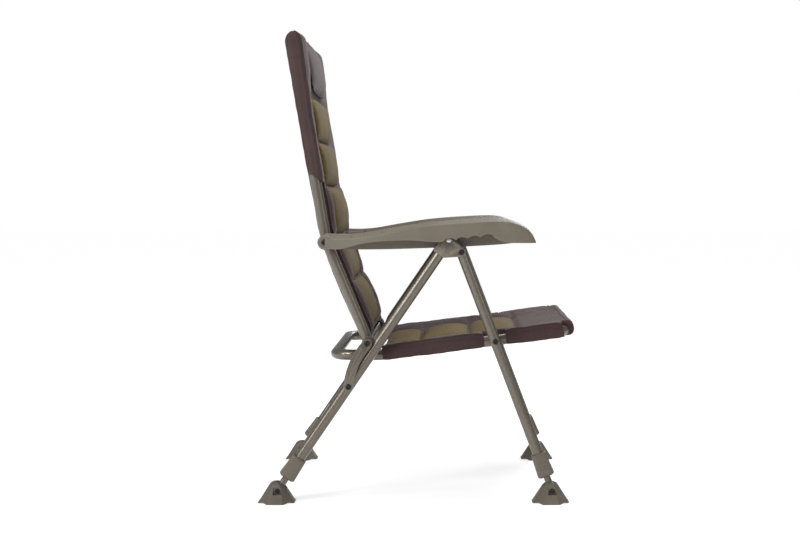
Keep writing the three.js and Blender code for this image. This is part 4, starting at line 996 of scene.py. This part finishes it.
def ruffle(points, amount, size, seed):
    """Uneven waves along each direction, as cloth has over padding."""
    moved = np.array(points, float)
    for k, point in enumerate(moved):
        at = Vector(point) / size + Vector((seed, seed * 1.7, seed * 0.3))
        moved[k] += np.array(noise.noise_vector(at)) * amount
    return moved


def squeezed(low, edge, share):
    """A section's underside and edge drawn together towards their middle."""
    middle = (low + edge) / 2
    return middle + (low - middle) * share, middle + (edge - middle) * share


def cover_half(half_width, low, edge, bolster, valley, groove):
    """Half a cover's section: underside, side, padded border and the floor below the pillows."""
    rounding = min(cover_rounding, (edge - low) / 2)
    middle = (edge + low) / 2
    half_height = (edge - low) / 2
    outer = half_width - rounding
    half = [(t * outer, low - 1.2 * math.sin(math.pi * t)) for t in np.linspace(0, 1, 12)[1:-1]]
    for turn in np.linspace(-math.pi / 2, math.pi / 2, 15):
        y = half_width - rounding * (1 - math.cos(turn) ** 0.8)
        y -= groove * math.exp(-((turn - 0.25) / 0.13) ** 2)
        half.append((y, middle + half_height * math.sin(turn)))
    rise = max(0.0, bolster - (edge + valley) / 2)
    for t in np.linspace(0, 1, 16)[1:]:
        base = edge + (valley - edge) * t
        half.append((outer + (valley_half - outer) * t, base + rise * math.sin(math.pi * t) ** 0.7))
    return half + [(valley_half * t, valley) for t in np.linspace(1, 0, 7)[1:-1]]


def full_ring(half, place):
    section = half + [(0, half[-1][1])] + [(-y, n) for y, n in reversed(half)] + [(0, half[0][1])]
    section = np.array(section)
    return place(section[:, 0], section[:, 1])


def mirrored(k):
    """The right side's point of a full ring for one on the left, counted from the underside's middle."""
    return 2 * half_points - k


def surface_line(some_rings, k, lift):
    """A line of the cover along its length, through point k of each ring and lifted off the cloth."""
    some_rings = np.array(some_rings)
    off = some_rings[:, k] - some_rings.mean(axis=1)
    return some_rings[:, k] + off / np.linalg.norm(off, axis=1, keepdims=True) * lift


def trim(name, body, some_rings, k, lift, piping=None):
    """Piping of a radius, or else a row of stitches, along both sides of a cover at point k."""
    for label, point in (("left", k), ("right", mirrored(k))):
        line = surface_line(some_rings, point, lift)
        if piping:
            dress(cord(f"{name}_{label}", line, piping), piping_cloth, body)
        else:
            dress(stitches(f"{name}_{label}", line), thread, body)


def front_stitches(name, body, ring, lift):
    """A row of stitches across a cover, between its two rows of piping."""
    first = piping_point + 2
    dress(stitches(name, ring[first : mirrored(first) + 1] + np.array(lift)), thread, body)


def seam_stations(start, end, seams, step):
    """Stations along a cover, closer together beside its seams."""
    marks = sorted([start, end] + [m for m in seams if start < m < end])
    stations = []
    for a, b in zip(marks, marks[1:]):
        count = max(3, int((b - a) / step))
        share = np.linspace(0, 1, count + 1)[:-1]
        eased = (1 - np.cos(np.pi * share)) / 2
        stations += list(a + (b - a) * (0.45 * share + 0.55 * eased))
    return stations + [marks[-1]]


# Backrest cover: distances are measured up the backrest from its hinge

back_cover_start = 16
back_hem_end = 32
back_seams = [22, 144.7, 262.7, 380.7, 488.7, 597.4]
back_crests = [30, 31, 43, 34, 33]
back_bolsters = [27, 28, 28, 18, 19]
back_pad_half = 239.5
back_valley = 12
back_underside = -16
hem_pinch = 0.3
hem_bolster = 9
sleeve_start = 390
sleeve_snug = 26
sleeve_slant_end = 480
sleeve_slant = 0.95
slant_start_half, slant_blend = 236, 6
slant_front = 18
snug_underside, snug_edge = -14.6, 15.5
hood_start = back_seams[-1]
hood_floor = 19
hood_floor_rise = 30
hood_end = 747
hood_radius = 25
hood_rounding = hood_end - hood_radius
hood_end_bolster = 5
hood_narrowing = 9
hood_groove, groove_start = 1.3, sleeve_start + 20
crease_place, crease_width, crease_depth = 684, 2.4, 2.6
crease_first, crease_last = 12, 23
edge_at = smooth_table([(14, 18), (440, 18), (500, 18), (600, 20), (660, 23), (710, 24), (747, 24)])
crest_at = smooth_table([(590, 17), (612, 20), (640, 25), (660, 28), (700, 29), (747, 28)])


def pillow_share(seams, s):
    """Which pillow a distance lies at, and how far along it."""
    k = int(np.clip(np.searchsorted(seams, s) - 1, 0, len(seams) - 2))
    return k, (s - seams[k]) / (seams[k + 1] - seams[k])


def back_ring(s):
    half_width = back_pad_half if s < sleeve_start else cover_side
    low, edge = back_underside, edge_at(s)
    if s < hood_start:
        k, share = pillow_share(back_seams, s)
        bolster = back_valley + (back_bolsters[k] - back_valley) * swell(share)
        valley = back_valley
    else:
        rise = min(1, (s - hood_start) / hood_floor_rise)
        valley = back_valley + (hood_floor - back_valley) * rise**0.6
        bolster = crest_at(s)
    if s < back_hem_end:
        pinch = 1 - hem_pinch * (back_hem_end - s) / (back_hem_end - back_cover_start)
        low, edge = squeezed(low, edge, pinch)
        bolster = min(bolster, edge + hem_bolster * pinch)
    if sleeve_start <= s < sleeve_start + sleeve_snug:
        snug = ((s - sleeve_start) / sleeve_snug) ** 0.5
        low = snug_underside + (low - snug_underside) * snug
        edge = snug_edge + (edge - snug_edge) * snug
    if s > hood_rounding:
        turn = math.asin(min(1, (s - hood_rounding) / hood_radius))
        shrink = max(0.02, math.cos(turn))
        low, edge = squeezed(low, edge, shrink)
        valley = min(valley, edge) if shrink < 0.6 else valley
        bolster = min(bolster, edge + hood_end_bolster * shrink)
        half_width -= hood_narrowing * (1 - shrink)
    groove = hood_groove if groove_start < s < hood_rounding else 0.0
    half = cover_half(half_width, low, edge, bolster, min(valley, edge + 2), groove)

    def place(y, n):
        """The sleeves' lower ends are cut at a slant, lower in front of the tubes than behind."""
        slant = np.zeros(len(y))
        if sleeve_start <= s < sleeve_slant_end:
            fade = 1 - (s - sleeve_start) / (sleeve_slant_end - sleeve_start)
            sideways = np.clip((np.abs(y) - slant_start_half) / slant_blend, 0, 1)
            slant = sideways * (slant_front - n) * sleeve_slant * fade
        return back_points(s + slant, y, n)

    ring = full_ring(half, place)
    crease = crease_depth * math.exp(-(((s - crease_place) / crease_width) ** 2))
    for k in range(crease_first, crease_last + 1):
        fade = math.sin(math.pi * (k - crease_first + 1) / (crease_last - crease_first + 2))
        ring[k][1] -= crease * fade
        ring[mirrored(k)][1] += crease * fade
    return ring


lower_stations = seam_stations(back_cover_start, sleeve_start - 0.01, back_seams, 6)
upper_stations = seam_stations(sleeve_start, hood_rounding, back_seams, 6)
top_turns = np.linspace(0, math.pi / 2, 14)[1:]
upper_stations += [hood_rounding + hood_radius * math.sin(t) for t in top_turns]
crease_stations = [crease_place + off for off in (-6, -3.5, -1.5, 0, 1.5, 3.5, 6)]
upper_stations = sorted(set(upper_stations + crease_stations))
rings = [back_ring(s) for s in lower_stations + upper_stations]
rings = [ruffle(ruffle(ring, 2.0, 60, 3.1), 0.9, 19, 9.4) for ring in rings]
for ring in rings:
    ring[:, 1] = np.clip(ring[:, 1], -cover_limit, cover_limit)
back_shell = loft("back_cover", rings, angle=50)
stand_in(back_shell, hood_cloth, "backrest_cover")
# Painted shade: the front border between the rows of piping gets the darker plum cloth because it faces away from
# the light. The side panels keep the hood cloth.
back_shell.data.materials.append(plum_cloth)
border = range(piping_point, mirrored(piping_point))
for polygon in back_shell.data.polygons[: ring_points * (len(rings) - 1)]:
    polygon.material_index = int(polygon.index % ring_points in border)

low_rings = rings[: len(lower_stations)]
hood_rings = rings[len(lower_stations) :]
hood_side = hood_rings[:-2]
trim("hood_piping", "backrest", hood_side, piping_point, 0.4, 1.7)
trim("hood_stitch", "backrest", hood_side, 20, 0.3)
trim("hood_back_stitch", "backrest", hood_side, 13, 0.3)
trim("back_piping", "backrest", low_rings, piping_point, 0.4, 1.5)
front_stitches("hood_hem_stitch_front", "backrest", hood_rings[3], (0.5, 0, 0))

# Seat cover

seat_cover_start = seat_hinge[0] + 34
seat_cover_end = seat_front + tube_radius + 1.5
seat_rounding = seat_cover_end - tube_radius
seat_seams = [-82.7, 6.5, 122.5, 238.5]
seat_crests = [24, 24, 24]
seat_valley = 6
seat_underside = -14
seat_edge = 23
cut_half = 26
cut_half_width = 256.2
corner_start = 338.3
corner_half_width = 242.7
seat_snug, snug_low, snug_high = 14, 1.6, 5.5
seat_bolster_low, seat_bolster_rise = 3, 12
seat_front_bolster = 5
seat_groove = 1.4


def seat_ring(x):
    beyond_cut = abs(x - seat_pivot[0]) - cut_half
    half_width = cover_side if beyond_cut >= 0 else cut_half_width
    if x > corner_start:
        half_width = corner_half_width
    if x < seat_seams[-1]:
        _, share = pillow_share(seat_seams, x)
        bolster = seat_valley + seat_bolster_low + seat_bolster_rise * swell(share)
        valley = seat_valley
    else:
        way = min(1, (x - seat_seams[-1]) / (seat_rounding - seat_seams[-1]))
        valley = seat_valley + (seat_edge - seat_valley) * (0.35 + 0.65 * way**1.3) * min(1, way * 12)
        bolster = valley + seat_front_bolster * (1 - way)
    from_ends = [x - seat_cover_start]
    if beyond_cut >= 0:
        from_ends.append(beyond_cut)
    if x < corner_start:
        from_ends.append(corner_start - x)
    loose = 1 - np.clip(min(from_ends) / seat_snug, 0, 1) ** 0.5
    low = seat_underside + snug_low * loose
    edge = seat_edge - snug_high * loose
    if x > seat_rounding:
        shrink = 0.3 + 0.7 * math.sqrt(max(0.0, 1 - ((x - seat_rounding) / tube_radius) ** 2))
        low, edge = squeezed(low, edge, shrink)
        valley = min(valley, edge)
        bolster = min(bolster, edge)
    groove = seat_groove if beyond_cut >= 0 and x < corner_start else 0.0
    half = cover_half(half_width, low, edge, bolster, valley, groove)
    return full_ring(half, lambda y, n: seat_points(np.full(len(y), x), y, n))


cut_low, cut_high = seat_pivot[0] - cut_half, seat_pivot[0] + cut_half
stations = [seat_rounding + tube_radius * t for t in (0.2, 0.4, 0.6, 0.78, 0.9, 1.0)]
for start, end in (
    (seat_cover_start, cut_low),
    (cut_low + 0.02, cut_high - 0.02),
    (cut_high, corner_start),
    (corner_start + 0.02, seat_rounding),
):
    stations += seam_stations(start, end, seat_seams, 5.5)
stations = sorted(set(stations))
rings = [ruffle(ruffle(seat_ring(x), 1.7, 52, 7.7), 0.8, 18, 2.2) for x in stations]
seat_shell = loft("seat_cover_piece", rings, angle=50)
stand_in(seat_shell, plum_cloth, "seat_cover")

for part, start, end in (
    ("rear", seat_cover_start, cut_low - 1),
    ("front", cut_high - 0.01, corner_start),
):
    span = [ring for ring, x in zip(rings, stations) if start <= x <= end]
    trim(f"seat_piping_{part}", "seat", span, piping_point, 0.4, 1.6)
    trim(f"seat_stitch_{part}", "seat", span, 19, 0.35)
    trim(f"seat_hem_stitch_{part}", "seat", span, 12, 0.35)
front_ring = next(ring for ring, x in zip(rings, stations) if x > corner_start + 8)
front_stitches("seat_front_stitch", "seat", front_ring, (0, 0, 0.5))

# Pillows: inflated in the flat, then laid on the backrest or the seat

swell_cap = 5.0
start_share = 0.86
voxel_size = 5.5
cloth_steps = 20
cloth_settings = {
    "quality": 5,
    "mass": 0.3,
    "use_pressure": True,
    "uniform_pressure_force": 4,
    "tension_stiffness": 12,
    "compression_stiffness": 12,
    "shear_stiffness": 6,
    "bending_stiffness": 0.8,
    "vertex_group_mass": "held",
}
seam_room = 1.5


def flat_cushion(name, length, half_width, floor, crest, corner, power, side_power):
    """A closed cushion in its own flat frame: x along, y across, z off the panel."""
    rows, columns = 40, 96
    grid_u = np.cos(np.linspace(math.pi, 0, rows + 1))
    grid_v = np.cos(np.linspace(math.pi, 0, columns + 1))
    points, top, under = [], {}, {}
    for i, u in enumerate(grid_u):
        for j, v in enumerate(grid_v):
            reach = 1 - 0.035 * (1 - abs(u) ** corner) * (abs(v) > 0.98)
            x = u * length / 2 * (1 - 0.10 * abs(v) ** 9)
            y = v * half_width * reach * (1 - 0.012 * abs(u) ** 4)
            lift = (max(0, 1 - abs(u) ** 2.1) ** power) * (max(0, 1 - abs(v) ** side_power) ** power)
            rim = i in (0, rows) or j in (0, columns)
            top[i, j] = len(points)
            points.append((x, y, floor + (crest - floor) * lift))
            if rim:
                under[i, j] = top[i, j]
            else:
                under[i, j] = len(points)
                points.append((x, y, floor - 1.5 * lift))
    faces = []
    for i in range(rows):
        for j in range(columns):
            faces.append((top[i, j], top[i + 1, j], top[i + 1, j + 1], top[i, j + 1]))
            faces.append((under[i, j], under[i, j + 1], under[i + 1, j + 1], under[i + 1, j]))
    return mesh_object(name, points, faces, 80)


def coordinates_of(mesh):
    flat = np.zeros(len(mesh.vertices) * 3)
    mesh.vertices.foreach_get("co", flat)
    return flat.reshape(-1, 3)


def set_coordinates(mesh, points):
    mesh.vertices.foreach_set("co", np.asarray(points, np.float32).ravel())
    mesh.update()


def inflate(obj, pinned_below):
    """Remeshes a cushion and lets cloth pressure fill it, its rim held by the seam."""
    remesh = obj.modifiers.new("Remesh", "REMESH")
    remesh.mode = "VOXEL"
    remesh.voxel_size = voxel_size * MM
    apply_modifiers(obj)
    before = coordinates_of(obj.data)
    held = obj.vertex_groups.new(name="held")
    held.add([int(k) for k in np.nonzero(before[:, 2] < pinned_below * MM)[0]], 1.0, "REPLACE")
    cloth = obj.modifiers.new("Cloth", "CLOTH").settings
    for name, value in cloth_settings.items():
        setattr(cloth, name, value)
    cloth.effector_weights.gravity = 0
    for step in range(1, cloth_steps + 1):
        scene.frame_set(step)
    apply_modifiers(obj)
    scene.frame_set(1)
    moved = coordinates_of(obj.data) - before
    length = np.linalg.norm(moved, axis=1, keepdims=True)
    moved *= np.minimum(1, swell_cap * MM / np.maximum(length, 1e-9))
    set_coordinates(obj.data, before + moved)
    obj.vertex_groups.clear()
    obj.modifiers.new("Subdivision", "SUBSURF").levels = 1
    apply_modifiers(obj)
    return obj


def pucker(points, length, half_width, seed, depth=1.5):
    """Short gathers that run in from the seams, in the cushion's flat frame, in millimetres."""
    moved = points.copy()
    for k, (x, y, z) in enumerate(points):
        from_end = length / 2 - abs(x)
        from_side = half_width - abs(y)
        end_share = math.exp(-max(from_end, 0) / 13)
        side_share = math.exp(-max(from_side, 0) / 16)
        wave = noise.noise(Vector((y / 9, seed, x * 0.012)))
        side_wave = noise.noise(Vector((x / 9, seed + 5, y * 0.012)))
        slow = noise.noise(Vector((x / 45, y / 60, seed + 9)))
        moved[k, 2] += depth * (wave * end_share + side_wave * side_share) * 1.6 + slow * 1.1
    return moved


def pillow(name, length, half_width, floor, crest, seed, lay, corner=4.5, power=0.45, side_power=5.0):
    """A cushion made slightly low, inflated, puckered at its seams and laid where it belongs."""
    start_crest = floor + (crest - floor) * start_share
    obj = flat_cushion(name, length, half_width, floor, start_crest, corner, power, side_power)
    inflate(obj, floor + 1.2)
    flat = pucker(coordinates_of(obj.data) / MM, length, half_width, seed)
    set_coordinates(obj.data, lay(flat) * MM)
    obj.data.shade_smooth()
    return obj


def pillow_row(name, body, seams, valley, crests, seed, place):
    """A row of olive pillows, one between each two seams of a cover."""
    for k, (start, end, crest) in enumerate(zip(seams, seams[1:], crests)):
        made = pillow(
            f"{name}_{k + 1}",
            end - start - seam_room,
            pillow_half + 1,
            valley - 2,
            crest,
            k + seed,
            lambda p: place((start + end) / 2 + p[:, 0], p[:, 1], p[:, 2]),
        )
        dress(made, olive_cloth, body)


pillow_row("back_pillow", "backrest", back_seams, back_valley, back_crests, 0.5, back_points)
pillow_row("seat_pillow", "seat", seat_seams, seat_valley, seat_crests, 20.5, seat_points)

head_middle = 666
head = pillow(
    "head_pillow_piece",
    length=122,
    half_width=160,
    floor=20.6,
    crest=40.3,
    seed=40.5,
    lay=lambda p: back_points(head_middle + p[:, 0], p[:, 1], p[:, 2]),
    corner=3.0,
    power=0.55,
    side_power=2.3,
)
stand_in(head, pillow_cloth, "head_pillow")

# Camera, floor and light

camera = add_object("camera", bpy.data.cameras.new("camera"))
camera.location = (0.0807, -3.763, 0.6987)
camera.rotation_euler = (math.radians(90), 0, 0)
camera.data.lens = 67.98
camera.data.sensor_width = 36
camera.data.shift_x = -0.0656
camera.data.shift_y = -0.0868
scene.camera = camera

floor_half = 30
floor_mesh = bpy.data.meshes.new("floor")
corners = [(x * floor_half, y * floor_half, 0) for x, y in ((-1, -1), (1, -1), (1, 1), (-1, 1))]
floor_mesh.from_pydata(corners, [], [(0, 1, 2, 3)])
floor_finish = Finish("studio_floor")
tint = floor_finish.ramp(floor_finish.noise(3, 2), (0.3, (0.60, 0.60, 0.605)), (0.7, grey(0.63)))
distance = floor_finish.add("VectorMath", {"Vector": floor_finish.place}, operation="LENGTH")
glow = floor_finish.span(distance.outputs["Value"], 0.56, 0.8, 0.4, 3.0)
floor_mesh.materials.append(floor_finish.shade({
    "Base Color": tint,
    "Roughness": 0.9,
    "Emission Color": (1, 1, 1),
    "Emission Strength": glow,
}))
add_object("floor", floor_mesh)

world = bpy.data.worlds.new("studio")
world.use_nodes = True
camera_ray = world.node_tree.nodes.new("ShaderNodeLightPath").outputs["Is Camera Ray"]
strength = world.node_tree.nodes.new("ShaderNodeMapRange")
fill_inputs(strength, {"Value": camera_ray, "To Min": 0.3, "To Max": 1.0})
backdrop = {"Color": (1, 1, 1), "Strength": strength.outputs["Result"]}
fill_inputs(world.node_tree.nodes["Background"], backdrop)
scene.world = world
scene.view_settings.view_transform = "Standard"


def softbox(name, place, target, size, power):
    light = bpy.data.lights.new(name, "AREA")
    light.shape = "RECTANGLE"
    light.size, light.size_y = size
    light.energy = power
    obj = add_object(name, light)
    obj.location = place
    obj.rotation_euler = (Vector(target) - Vector(place)).to_track_quat("-Z", "Y").to_euler()


softbox("key", (-1.9, -2.6, 2.2), (0, 0, 0.5), (0.7, 1.8), 66)
softbox("strip", (-2.4, -1.6, 1.5), (0, 0, 0.4), (0.35, 1.6), 26)
softbox("fill", (2.6, -2.2, 1.6), (0, 0, 0.5), (1.4, 1.4), 12)
softbox("top", (0.6, 0.3, 3.0), (0, 0, 0.4), (1.6, 1.6), 52)
softbox("rear", (1.2, 2.8, 2.2), (0, 0, 0.5), (1.6, 1.6), 40)
